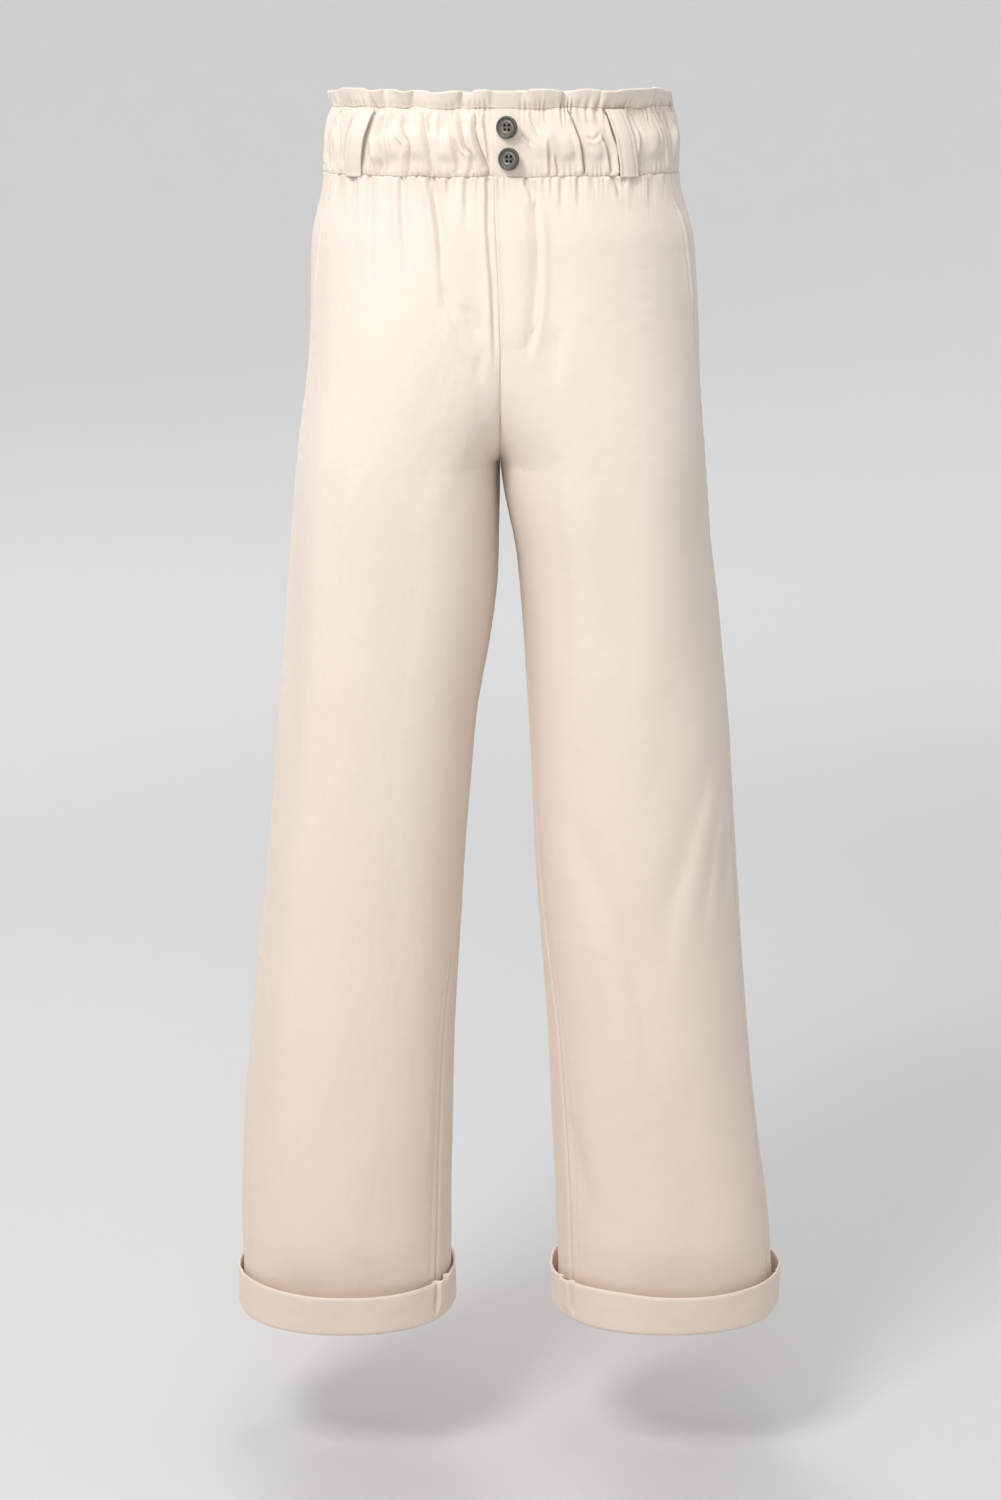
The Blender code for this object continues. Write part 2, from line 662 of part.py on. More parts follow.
def build_button(button, material, collection, cutters):
    """A turned metal button with a rim, a dished middle and four sewing holes."""
    vertices = [(r * BUTTON_RADIUS, 0.0, h * BUTTON_THICKNESS) for r, h in BUTTON_PROFILE]
    mesh = bpy.data.meshes.new(button.name)
    mesh.from_pydata(vertices, [(i, i + 1) for i in range(len(vertices) - 1)], [])
    mesh.materials.append(material)
    made = bpy.data.objects.new(button.name, mesh)
    collection.objects.link(made)
    turned = made.modifiers.new("turned", "SCREW")
    turned.steps = ROUND_STEPS
    turned.render_steps = ROUND_STEPS
    turned.use_merge_vertices = True
    turned.merge_threshold = MERGE_DISTANCE
    lean = BUTTON_RADIUS * BUTTON_BACK_SHARE * sin(abs(BUTTON_YAW))
    made.location = (button.x, -(FRONT_DEPTH(button.height) + BUTTON_SHANK + lean), button.height)
    made.rotation_euler = (radians(90), 0.0, BUTTON_YAW)
    for i, (x, y) in enumerate(HOLE_CORNERS):
        cut_hole(made, i, x * BUTTON_HOLE_SPACING / 2, y * BUTTON_HOLE_SPACING / 2, cutters)
    return made


def cut_hole(button, number, x, y, cutters):
    shape = bmesh.new()
    bmesh.ops.create_cone(
        shape,
        cap_ends=True,
        segments=HOLE_SIDES,
        radius1=BUTTON_HOLE_RADIUS,
        radius2=BUTTON_HOLE_RADIUS,
        depth=HOLE_DEPTH,
    )
    mesh = bpy.data.meshes.new(f"{button.name}_hole_{number}")
    shape.to_mesh(mesh)
    shape.free()
    cutter = bpy.data.objects.new(mesh.name, mesh)
    cutters.objects.link(cutter)
    cutter.parent = button
    cutter.location = (x, y, 0.0)
    cutter.hide_render = True
    cutter.display_type = "WIRE"
    hole = button.modifiers.new(f"hole_{number}", "BOOLEAN")
    hole.operation = "DIFFERENCE"
    hole.object = cutter


def main():
    clear_scene()
    garment = make_collection(COLLECTION)
    cutters = make_collection(CUTTERS, hidden=True)
    cloth = principled("cotton_twill", CLOTH_COLOUR, CLOTH_ROUGHNESS, 0.0)
    metal = principled("button_metal", METAL_COLOUR, METAL_ROUGHNESS, 1.0)
    for side in (LEFT, RIGHT):
        build_panel(side, "front", cloth, garment)
        build_panel(side, "back", cloth, garment)
        build_pocket_facing(side, cloth, garment)
        build_cuff(side, cloth, garment)
    build_fly_facing(cloth, garment)
    low, high = BAND_BOTTOM + HALF_GAP, BAND_TOP - HALF_GAP
    build_ring("waistband", low, high, BAND_ROWS, band_lift, BAND_WALL, cloth, garment)
    low, high = BAND_TOP + HALF_GAP, FRILL_TOP
    build_ring("frill", low, high, FRILL_ROWS, frill_lift, BAND_WALL, cloth, garment)
    for loop in LOOPS:
        build_belt_loop(loop, cloth, garment)
    for button in BUTTONS:
        build_button(button, metal, garment, cutters)


main()
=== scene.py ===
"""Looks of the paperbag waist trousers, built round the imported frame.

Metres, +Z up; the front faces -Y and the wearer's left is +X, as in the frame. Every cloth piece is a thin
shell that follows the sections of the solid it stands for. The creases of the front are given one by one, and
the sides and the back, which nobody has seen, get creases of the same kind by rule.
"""

from collections import namedtuple
from math import asin, atan2, cos, pi, radians, sin, sqrt

import bmesh
import bpy
import numpy as np
from mathutils import Matrix


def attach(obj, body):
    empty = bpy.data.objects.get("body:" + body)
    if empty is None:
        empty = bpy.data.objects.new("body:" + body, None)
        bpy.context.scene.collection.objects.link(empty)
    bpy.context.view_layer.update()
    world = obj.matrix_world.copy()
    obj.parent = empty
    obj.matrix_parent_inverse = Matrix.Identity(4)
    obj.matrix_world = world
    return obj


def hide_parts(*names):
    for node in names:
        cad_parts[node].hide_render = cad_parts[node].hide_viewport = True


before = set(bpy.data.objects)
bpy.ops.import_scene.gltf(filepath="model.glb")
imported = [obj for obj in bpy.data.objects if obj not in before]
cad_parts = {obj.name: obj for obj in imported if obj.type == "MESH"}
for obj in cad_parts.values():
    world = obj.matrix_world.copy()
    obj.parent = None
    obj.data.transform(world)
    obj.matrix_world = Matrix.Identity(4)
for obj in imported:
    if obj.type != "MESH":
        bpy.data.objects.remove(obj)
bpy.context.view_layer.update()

LEFT = 1
RIGHT = -1

# ----------------------------------------------------------------------------
# Form: the sections, seams and walls of the solids.
# ----------------------------------------------------------------------------

PANEL_WALL = 0.0015
BAND_WALL = 0.0025
FRILL_WALL = 0.0018
CUFF_WALL = 0.0020
LOOP_WALL = 0.0018
FACING_WALL = 0.0010
SEAM_GAP = 0.0003
HALF_GAP = SEAM_GAP / 2

FRILL_TOP = 0.038
BAND_TOP = 0.025
BAND_BOTTOM = -0.028
PARTING_TOP = -0.050
FLY_BOTTOM = -0.166
CROTCH = -0.262
PANEL_BOTTOM = -0.985
CUFF_TOP = -0.967
CUFF_BOTTOM = -1.004

Section = namedtuple("Section", "height right_outer right_inner left_inner left_outer front back square")
SECTIONS = (
    Section(0.038, 0.1440, 0.0000, 0.0000, 0.1435, 0.0995, 0.1005, 2.1),
    Section(0.025, 0.1410, 0.0000, 0.0000, 0.1405, 0.0970, 0.0985, 2.1),
    Section(-0.002, 0.1455, 0.0000, 0.0000, 0.1455, 0.1005, 0.1020, 2.1),
    Section(-0.028, 0.1440, 0.0000, 0.0000, 0.1455, 0.0990, 0.1010, 2.15),
    Section(-0.083, 0.1530, 0.0000, 0.0000, 0.1570, 0.1050, 0.1120, 2.3),
    Section(-0.181, 0.1590, 0.0000, 0.0000, 0.1640, 0.1080, 0.1180, 2.5),
    Section(-0.262, 0.1690, 0.0000, 0.0000, 0.1700, 0.1070, 0.1160, 2.6),
    Section(-0.348, 0.1770, 0.0020, 0.0140, 0.1770, 0.1040, 0.1120, 2.45),
    Section(-0.485, 0.1885, 0.0215, 0.0240, 0.1920, 0.0980, 0.1040, 2.3),
    Section(-0.624, 0.2010, 0.0310, 0.0310, 0.2020, 0.0920, 0.0960, 2.2),
    Section(-0.766, 0.2150, 0.0390, 0.0410, 0.2140, 0.0870, 0.0890, 2.15),
    Section(-0.911, 0.2230, 0.0415, 0.0470, 0.2320, 0.0800, 0.0820, 2.1),
    Section(-1.004, 0.2250, 0.0420, 0.0480, 0.2400, 0.0770, 0.0790, 2.1),
)
PARTING_POWER = 2.5
PARTING_EASE = 1.4

SIDE_SEAM_TURN = radians(20)
Seam = namedtuple("Seam", "height inseam_turn")
INSEAM = (Seam(-0.262, 0.0), Seam(-0.450, 8.0), Seam(-0.620, 18.0), Seam(-0.760, 29.0), Seam(-1.004, 32.0))
FLY_EDGE_TOP = -0.0045
FLY_WIDTH = 0.0330
FLY_CURVE_TOP = -0.125
STEADY_TOP = -0.150
STEADY_BOTTOM = -0.340
STEADY_SHARE = 0.45

# Grids. Rows lie closer under the waistband and round the crotch, where the cloth turns most.
PANEL_COLUMNS = {"front": 150, "back": 96}
OUTLINE_POINTS = 480
CROTCH_POINTS = 400
WAIST_POINTS = 1441
GATHER_FOOT = -0.150
GATHER_STEP = 0.0020
CROTCH_STEPS = 46
LEG_STEP = 0.0040
RING_COLUMNS = 940
BAND_ROWS = 38
FRILL_ROWS = 15
CUFF_COLUMNS = 620

# The waist ring's underlap, and the flat button stand.
UNDERLAP = 0.018
TUCK_RUN = 0.014
TUCK_SHARE = 0.8
WIDTH_TO_DEPTH = 1.45
STAND_MIDDLE = 0.004
STAND_HALF_WIDTH = 0.016
STAND_FLAT_SHARE = 0.45


def smoothstep(value):
    value = np.clip(value, 0.0, 1.0)
    return value * value * (3.0 - 2.0 * value)


def bell(distance, half_width):
    return np.exp(-((distance / half_width) ** 2))


def smooth_curve(rows, column):
    """A function of height through one column of a table, smooth and with no overshoot."""
    heights = np.array([row.height for row in rows][::-1])
    values = np.array([getattr(row, column) for row in rows][::-1])
    return smooth_through(heights, values)


def smooth_through(places, values):
    """A smooth function through values at rising places, with no overshoot between them."""
    steps = np.diff(places)
    rises = np.diff(values) / steps
    slopes = np.concatenate([rises[:1], np.zeros(len(rises) - 1), rises[-1:]])
    for i in range(1, len(rises)):
        if rises[i - 1] * rises[i] > 0:
            slopes[i] = 2.0 / (1.0 / rises[i - 1] + 1.0 / rises[i])

    def at(place):
        i = np.clip(np.searchsorted(places, place) - 1, 0, len(steps) - 1)
        t = (place - places[i]) / steps[i]
        level = values[i] * (1 + 2 * t) * (1 - t) ** 2 + values[i + 1] * t * t * (3 - 2 * t)
        return level + steps[i] * (slopes[i] * t * (1 - t) ** 2 - slopes[i + 1] * t * t * (1 - t))

    return at


WIDTHS = {
    LEFT: (smooth_curve(SECTIONS, "left_inner"), smooth_curve(SECTIONS, "left_outer")),
    RIGHT: (smooth_curve(SECTIONS, "right_inner"), smooth_curve(SECTIONS, "right_outer")),
}
FRONT_DEPTH = smooth_curve(SECTIONS, "front")
BACK_DEPTH = smooth_curve(SECTIONS, "back")
SQUARENESS = smooth_curve(SECTIONS, "square")
INSEAM_TURN = smooth_curve(INSEAM, "inseam_turn")


def side_name(side):
    return "left" if side == LEFT else "right"


def leg_oval(side, height):
    """(centre, half width) of one leg's oval. Above the crotch the two ovals run into each other."""
    inner, outer = (curve(height) for curve in WIDTHS[side])
    if height <= CROTCH:
        return (outer + inner) / 2, (outer - inner) / 2
    down = max(0.0, (PARTING_TOP - height) / (PARTING_TOP - CROTCH))
    parted = 1 - (1 - down**PARTING_POWER) ** PARTING_EASE
    half_width = outer / (1 + parted)
    return outer - half_width, half_width


def fly_edge(height):
    return FLY_EDGE_TOP * smoothstep((height - FLY_BOTTOM) / (BAND_BOTTOM - FLY_BOTTOM))


def fullness(turns, height):
    """How much further out than an ellipse the squared oval reaches at a turn."""
    power = SQUARENESS(height)
    return (np.abs(np.cos(turns)) ** power + np.abs(np.sin(turns)) ** power) ** (-1 / power)


def oval_points(side, height, turns, out=0.0):
    centre, half_width = leg_oval(side, height)
    depth = np.where(np.sin(turns) > 0, FRONT_DEPTH(height), BACK_DEPTH(height))
    full = fullness(turns, height)
    x = side * (HALF_GAP + centre + (half_width + out) * full * np.cos(turns))
    return np.stack([x, -(depth + out) * full * np.sin(turns)], axis=-1)


def panel_turns(side, face, height):
    """The turns at which a panel starts, at the side seam, and ends, at the centre seam or the inseam."""
    if height <= CROTCH:
        lean = radians(INSEAM_TURN(height))
        return SIDE_SEAM_TURN, (pi - lean if face == "front" else -pi - lean)
    centre, half_width = leg_oval(side, height)
    edge = side * fly_edge(height) if face == "front" else 0.0
    across = float(np.clip((edge - centre) / half_width, -1.0, 1.0))
    power = SQUARENESS(height)
    last = atan2((1 - abs(across) ** power) ** (1 / power), across)
    return SIDE_SEAM_TURN, (last if face == "front" else -last)


def run_along(points):
    """Distance run along a line of points."""
    return np.concatenate([[0.0], np.cumsum(np.linalg.norm(np.diff(points, axis=0), axis=1))])


def panel_outline(side, face, height):
    first, last = panel_turns(side, face, height)
    outline = oval_points(side, height, np.linspace(first, last, OUTLINE_POINTS))
    return outline, run_along(outline)


def steady_width(side, face, height):
    """A panel's width, with the crotch's sudden growth spread out so that its columns run on steadily."""
    if not STEADY_BOTTOM < height < STEADY_TOP:
        return panel_outline(side, face, height)[1][-1]
    down = smoothstep((STEADY_TOP - height) / (STEADY_TOP - STEADY_BOTTOM))
    upper = panel_outline(side, face, STEADY_TOP)[1][-1]
    lower = panel_outline(side, face, STEADY_BOTTOM)[1][-1]
    return upper + (lower - upper) * down


def panel_row(side, face, height):
    """One row of a panel's outer face, from the side seam in: points, outward normals and stations."""
    outline, run = panel_outline(side, face, height)
    end = run[-1] - (HALF_GAP if height <= CROTCH else 0.0)
    columns = PANEL_COLUMNS[face]
    share = np.linspace(0.0, 1.0, columns)
    steady = steady_width(side, face, height)
    spread = share * steady + (run[-1] - steady) * smoothstep((share - STEADY_SHARE) / (1 - STEADY_SHARE))
    stations = HALF_GAP + spread * (end - HALF_GAP) / run[-1]
    slope = np.gradient(outline, axis=0)
    outwards = np.stack([slope[:, 1], -slope[:, 0]], axis=-1)
    outwards *= np.sign(outwards[0, 0] * side)
    outwards /= np.linalg.norm(outwards, axis=1)[:, None]
    points = np.stack([np.interp(stations, run, outline[:, k]) for k in (0, 1)], axis=-1)
    normals = np.stack([np.interp(stations, run, outwards[:, k]) for k in (0, 1)], axis=-1)
    level = np.full((columns, 1), height)
    return np.hstack([points, level]), np.hstack([normals, np.zeros((columns, 1))]), stations


def crotch_height(share):
    """The height at which the crotch seam lies a share of the body's depth from the crotch point."""
    parted = (1 - share ** SQUARENESS(CROTCH)) ** (1 / SQUARENESS(CROTCH))
    down = (1 - (1 - parted) ** (1 / PARTING_EASE)) ** (1 / PARTING_POWER)
    return PARTING_TOP + (CROTCH - PARTING_TOP) * down


def panel_heights():
    """Heights of a panel's rows, from the waistband down, spaced along the crotch seam as it sweeps under."""
    top, bottom = BAND_BOTTOM - HALF_GAP, PANEL_BOTTOM + HALF_GAP
    gathers = np.linspace(top, GATHER_FOOT, int(round((top - GATHER_FOOT) / GATHER_STEP)))
    shares = np.linspace(1.0, 0.0, CROTCH_POINTS)
    curve = np.array([crotch_height(share) for share in shares])
    seam = np.stack([shares * FRONT_DEPTH(CROTCH), curve], axis=-1)
    below = seam[:, 1] < GATHER_FOOT
    run = run_along(seam[below])
    crotch = np.interp(np.linspace(0.0, run[-1], CROTCH_STEPS + 1)[1:], run, seam[below][:, 1])
    legs = np.linspace(CROTCH, bottom, int(round((CROTCH - bottom) / LEG_STEP)))
    return np.concatenate([gathers, crotch, legs[1:]])


PANEL_HEIGHTS = panel_heights()


# ----------------------------------------------------------------------------
# The waist ring.
# ----------------------------------------------------------------------------


def waist_points(turns, height, out=0.0):
    """Points of the waist ring, by turn from the centre front to the wearer's left, pushed out."""
    width = np.where(np.sin(turns) > 0, WIDTHS[LEFT][1](height), WIDTHS[RIGHT][1](height))
    depth = np.where(np.cos(turns) > 0, FRONT_DEPTH(height), BACK_DEPTH(height))
    full = fullness(turns, height)
    x = (width + out) * full * np.sin(turns)
    y = -(depth + out) * full * np.cos(turns)
    return np.stack([x, y, np.broadcast_to(height, x.shape)], axis=-1)


WAIST_TURNS = np.linspace(-pi, pi, WAIST_POINTS)
WAIST_LINE = waist_points(WAIST_TURNS, 0.0)
WAIST_RUNS = run_along(WAIST_LINE)
WAIST_RUNS = WAIST_RUNS - np.interp(0.0, WAIST_TURNS, WAIST_RUNS)
WAIST_ROUND = WAIST_RUNS[-1] - WAIST_RUNS[0]
SIDE_RUN = WAIST_ROUND / 4
FRONT_TURN = radians(88)
IN_FRONT = np.abs(WAIST_TURNS) <= FRONT_TURN


def run_at(x):
    """Distance round the waist from the centre front to the place on the front that lies at x."""
    return np.interp(x, WAIST_LINE[IN_FRONT, 0], WAIST_RUNS[IN_FRONT])


# Belt loops, by turn round the waist in degrees. clearance is the share of the solid's gap that is kept.
Loop = namedtuple("Loop", "name top_turn low_turn clearance")
LOOPS = (
    Loop("belt_loop_front_right", -47.0, -52.0, 0.42),
    Loop("belt_loop_front_left", 38.5, 43.0, 0.34),
    Loop("belt_loop_back_left", 139.0, 141.0, 0.45),
    Loop("belt_loop_back_right", -139.0, -141.0, 0.50),
)
LOOP_WIDTH = 0.016
LoopPoint = namedtuple("LoopPoint", "height gap")
LOOP_PROFILE = (
    LoopPoint(0.0240, 0.0004),
    LoopPoint(0.0205, 0.0052),
    LoopPoint(0.0135, 0.0082),
    LoopPoint(0.0020, 0.0092),
    LoopPoint(-0.0100, 0.0088),
    LoopPoint(-0.0200, 0.0064),
    LoopPoint(-0.0265, 0.0028),
    LoopPoint(-0.0310, 0.0020),
)
LOOP_GAP = smooth_curve(LOOP_PROFILE, "gap")


def stand_calm(run):
    """0 on the flat button stand and 1 away from it."""
    past_flat = np.abs(run - STAND_MIDDLE) / STAND_HALF_WIDTH - STAND_FLAT_SHARE
    return smoothstep(past_flat / (1 - STAND_FLAT_SHARE))


# ----------------------------------------------------------------------------
# Creases.
# ----------------------------------------------------------------------------

# A crease follows a path of (x, z). Its depth is how far the cloth sinks, and a negative depth is a ridge.
# lip is the height, as a share of the depth, of the ridge that the pushed-up cloth makes beside it: on the
# wearer's left side when positive. rise and fall are the shares of its length over which it comes and goes.
Crease = namedtuple("Crease", "path half_width depth lip rise fall")
FRONT_CREASES = (
    # Gathers under the waistband, wearer's right.
    Crease(((-0.1315, -0.027), (-0.1335, -0.069)), 0.0050, 0.0016, -0.3, 0.02, 0.9),
    Crease(((-0.1190, -0.027), (-0.1196, -0.052)), 0.0035, 0.0014, -0.4, 0.02, 0.9),
    Crease(((-0.1056, -0.027), (-0.1052, -0.080), (-0.1046, -0.124)), 0.0052, 0.0026, -0.4, 0.02, 0.8),
    Crease(((-0.0955, -0.027), (-0.0950, -0.042)), 0.0030, 0.0013, -0.3, 0.02, 0.9),
    Crease(((-0.0883, -0.027), (-0.0884, -0.046)), 0.0034, 0.0017, -0.4, 0.02, 0.9),
    Crease(((-0.0791, -0.027), (-0.0778, -0.060), (-0.0727, -0.114)), 0.0048, 0.0030, -0.5, 0.02, 0.7),
    Crease(((-0.0671, -0.027), (-0.0672, -0.038)), 0.0030, 0.0014, -0.4, 0.02, 0.9),
    Crease(
        ((-0.0561, -0.027), (-0.0511, -0.053), (-0.0477, -0.078), (-0.0451, -0.134)),
        0.0050,
        0.0038,
        -0.6,
        0.02,
        0.7,
    ),
    Crease(((-0.0412, -0.027), (-0.0413, -0.050)), 0.0034, 0.0020, -0.4, 0.02, 0.9),
    Crease(((-0.0345, -0.027), (-0.0373, -0.038)), 0.0028, 0.0014, -0.4, 0.02, 0.9),
    Crease(((-0.0271, -0.027), (-0.0272, -0.077)), 0.0044, 0.0024, -0.4, 0.02, 0.8),
    Crease(((-0.0180, -0.027), (-0.0176, -0.058)), 0.0032, 0.0016, -0.3, 0.02, 0.9),
    # The hollow beside the fly, and the drags from it.
    Crease(
        (
            (-0.0108, -0.027), (-0.0092, -0.041), (-0.0098, -0.060), (-0.0083, -0.084), (-0.0059, -0.116),
            (-0.0032, -0.191),
        ),
        0.0042,
        0.0030,
        -0.35,
        0.02,
        0.35,
    ),
    Crease(((-0.0478, -0.108), (-0.0388, -0.136), (-0.0180, -0.170)), 0.0042, 0.0020, -0.6, 0.25, 0.35),
    Crease(((-0.0300, -0.126), (-0.0226, -0.143), (-0.0150, -0.156)), 0.0040, 0.0018, -0.5, 0.3, 0.3),
    Crease(((-0.0450, -0.103), (-0.0452, -0.153)), 0.0050, 0.0010, 0.4, 0.4, 0.5),
    Crease(((-0.0163, -0.163), (-0.0155, -0.194)), 0.0040, 0.0014, 0.4, 0.3, 0.6),
    # Gathers under the waistband, wearer's left.
    Crease(((0.0145, -0.027), (0.0153, -0.040)), 0.0026, 0.0014, -0.4, 0.02, 0.9),
    Crease(
        ((0.0196, -0.027), (0.0200, -0.032), (0.0237, -0.039), (0.0262, -0.049)),
        0.0032,
        0.0034,
        -0.6,
        0.02,
        0.6,
    ),
    Crease(((0.0345, -0.027), (0.0352, -0.044)), 0.0030, 0.0014, -0.4, 0.02, 0.9),
    Crease(((0.0405, -0.027), (0.0411, -0.048)), 0.0030, 0.0016, -0.4, 0.02, 0.9),
    Crease(((0.0483, -0.027), (0.0484, -0.062)), 0.0040, 0.0022, -0.4, 0.02, 0.9),
    Crease(((0.0616, -0.027), (0.0618, -0.057)), 0.0038, 0.0019, -0.4, 0.02, 0.9),
    Crease(((0.0725, -0.027), (0.0732, -0.042)), 0.0030, 0.0013, -0.4, 0.02, 0.9),
    Crease(((0.0870, -0.027), (0.0928, -0.036), (0.0942, -0.047)), 0.0030, 0.0034, -0.5, 0.02, 0.7),
    Crease(((0.1060, -0.027), (0.1068, -0.048)), 0.0036, 0.0014, -0.4, 0.02, 0.9),
    Crease(((0.1190, -0.027), (0.1204, -0.060)), 0.0040, 0.0016, -0.4, 0.02, 0.9),
    Crease(((0.1327, -0.027), (0.1330, -0.040)), 0.0030, 0.0014, -0.4, 0.02, 0.9),
    # The trough outside the fly's stitching, and the hollow below it.
    Crease(
        (
            (0.0255, -0.046), (0.0284, -0.084), (0.0286, -0.110), (0.0268, -0.136), (0.0232, -0.161),
            (0.0170, -0.176),
        ),
        0.0036,
        0.0024,
        0.5,
        0.08,
        0.25,
    ),
    Crease(((0.0380, -0.140), (0.0440, -0.157), (0.0441, -0.195)), 0.0070, 0.0012, 0.3, 0.4, 0.5),
    # Long drapes of the wearer's-right leg.
    Crease(
        ((-0.128, -0.180), (-0.150, -0.330), (-0.157, -0.447), (-0.178, -0.700), (-0.199, -0.925)),
        0.0150,
        -0.0030,
        0.0,
        0.25,
        0.15,
    ),
    Crease(
        ((-0.160, -0.260), (-0.176, -0.480), (-0.196, -0.740), (-0.212, -0.925)),
        0.0130,
        0.0022,
        0.0,
        0.3,
        0.2,
    ),
    Crease(((-0.124, -0.235), (-0.136, -0.307), (-0.139, -0.360)), 0.0090, 0.0020, 0.5, 0.4, 0.5),
    Crease(((-0.098, -0.500), (-0.087, -0.680), (-0.084, -0.780)), 0.0190, 0.0020, 0.4, 0.4, 0.5),
    Crease(((-0.060, -0.300), (-0.080, -0.420), (-0.092, -0.560)), 0.0200, 0.0022, 0.4, 0.4, 0.5),
    Crease(((-0.030, -0.230), (-0.052, -0.285), (-0.070, -0.330)), 0.0120, -0.0018, 0.0, 0.4, 0.5),
    Crease(((-0.150, -0.905), (-0.130, -0.935), (-0.105, -0.950)), 0.0090, 0.0012, 0.4, 0.4, 0.4),
    # Long drapes of the wearer's-left leg.
    Crease(
        ((0.022, -0.215), (0.038, -0.267), (0.046, -0.402), (0.044, -0.500)),
        0.0170,
        0.0040,
        0.4,
        0.3,
        0.5,
    ),
    Crease(
        ((0.050, -0.535), (0.078, -0.600), (0.111, -0.682), (0.125, -0.760), (0.128, -0.840)),
        0.0130,
        0.0032,
        -0.5,
        0.25,
        0.5,
    ),
    Crease(
        ((0.176, -0.480), (0.160, -0.560), (0.1395, -0.636), (0.132, -0.720)),
        0.0110,
        0.0028,
        0.5,
        0.3,
        0.4,
    ),
    Crease(((0.186, -0.500), (0.178, -0.580), (0.168, -0.660)), 0.0060, 0.0014, 0.5, 0.4, 0.4),
    Crease(((0.194, -0.560), (0.188, -0.640)), 0.0050, 0.0012, 0.5, 0.4, 0.4),
    Crease(((0.055, -0.800), (0.064, -0.850), (0.078, -0.912)), 0.0090, 0.0024, 0.5, 0.4, 0.5),
    Crease(((0.104, -0.250), (0.112, -0.400), (0.118, -0.560)), 0.0220, -0.0024, 0.0, 0.4, 0.4),
    Crease(((0.150, -0.220), (0.164, -0.380), (0.176, -0.520)), 0.0160, 0.0020, 0.3, 0.4, 0.4),
    Crease(((0.150, -0.760), (0.160, -0.860), (0.166, -0.930)), 0.0200, 0.0018, 0.3, 0.4, 0.4),
)

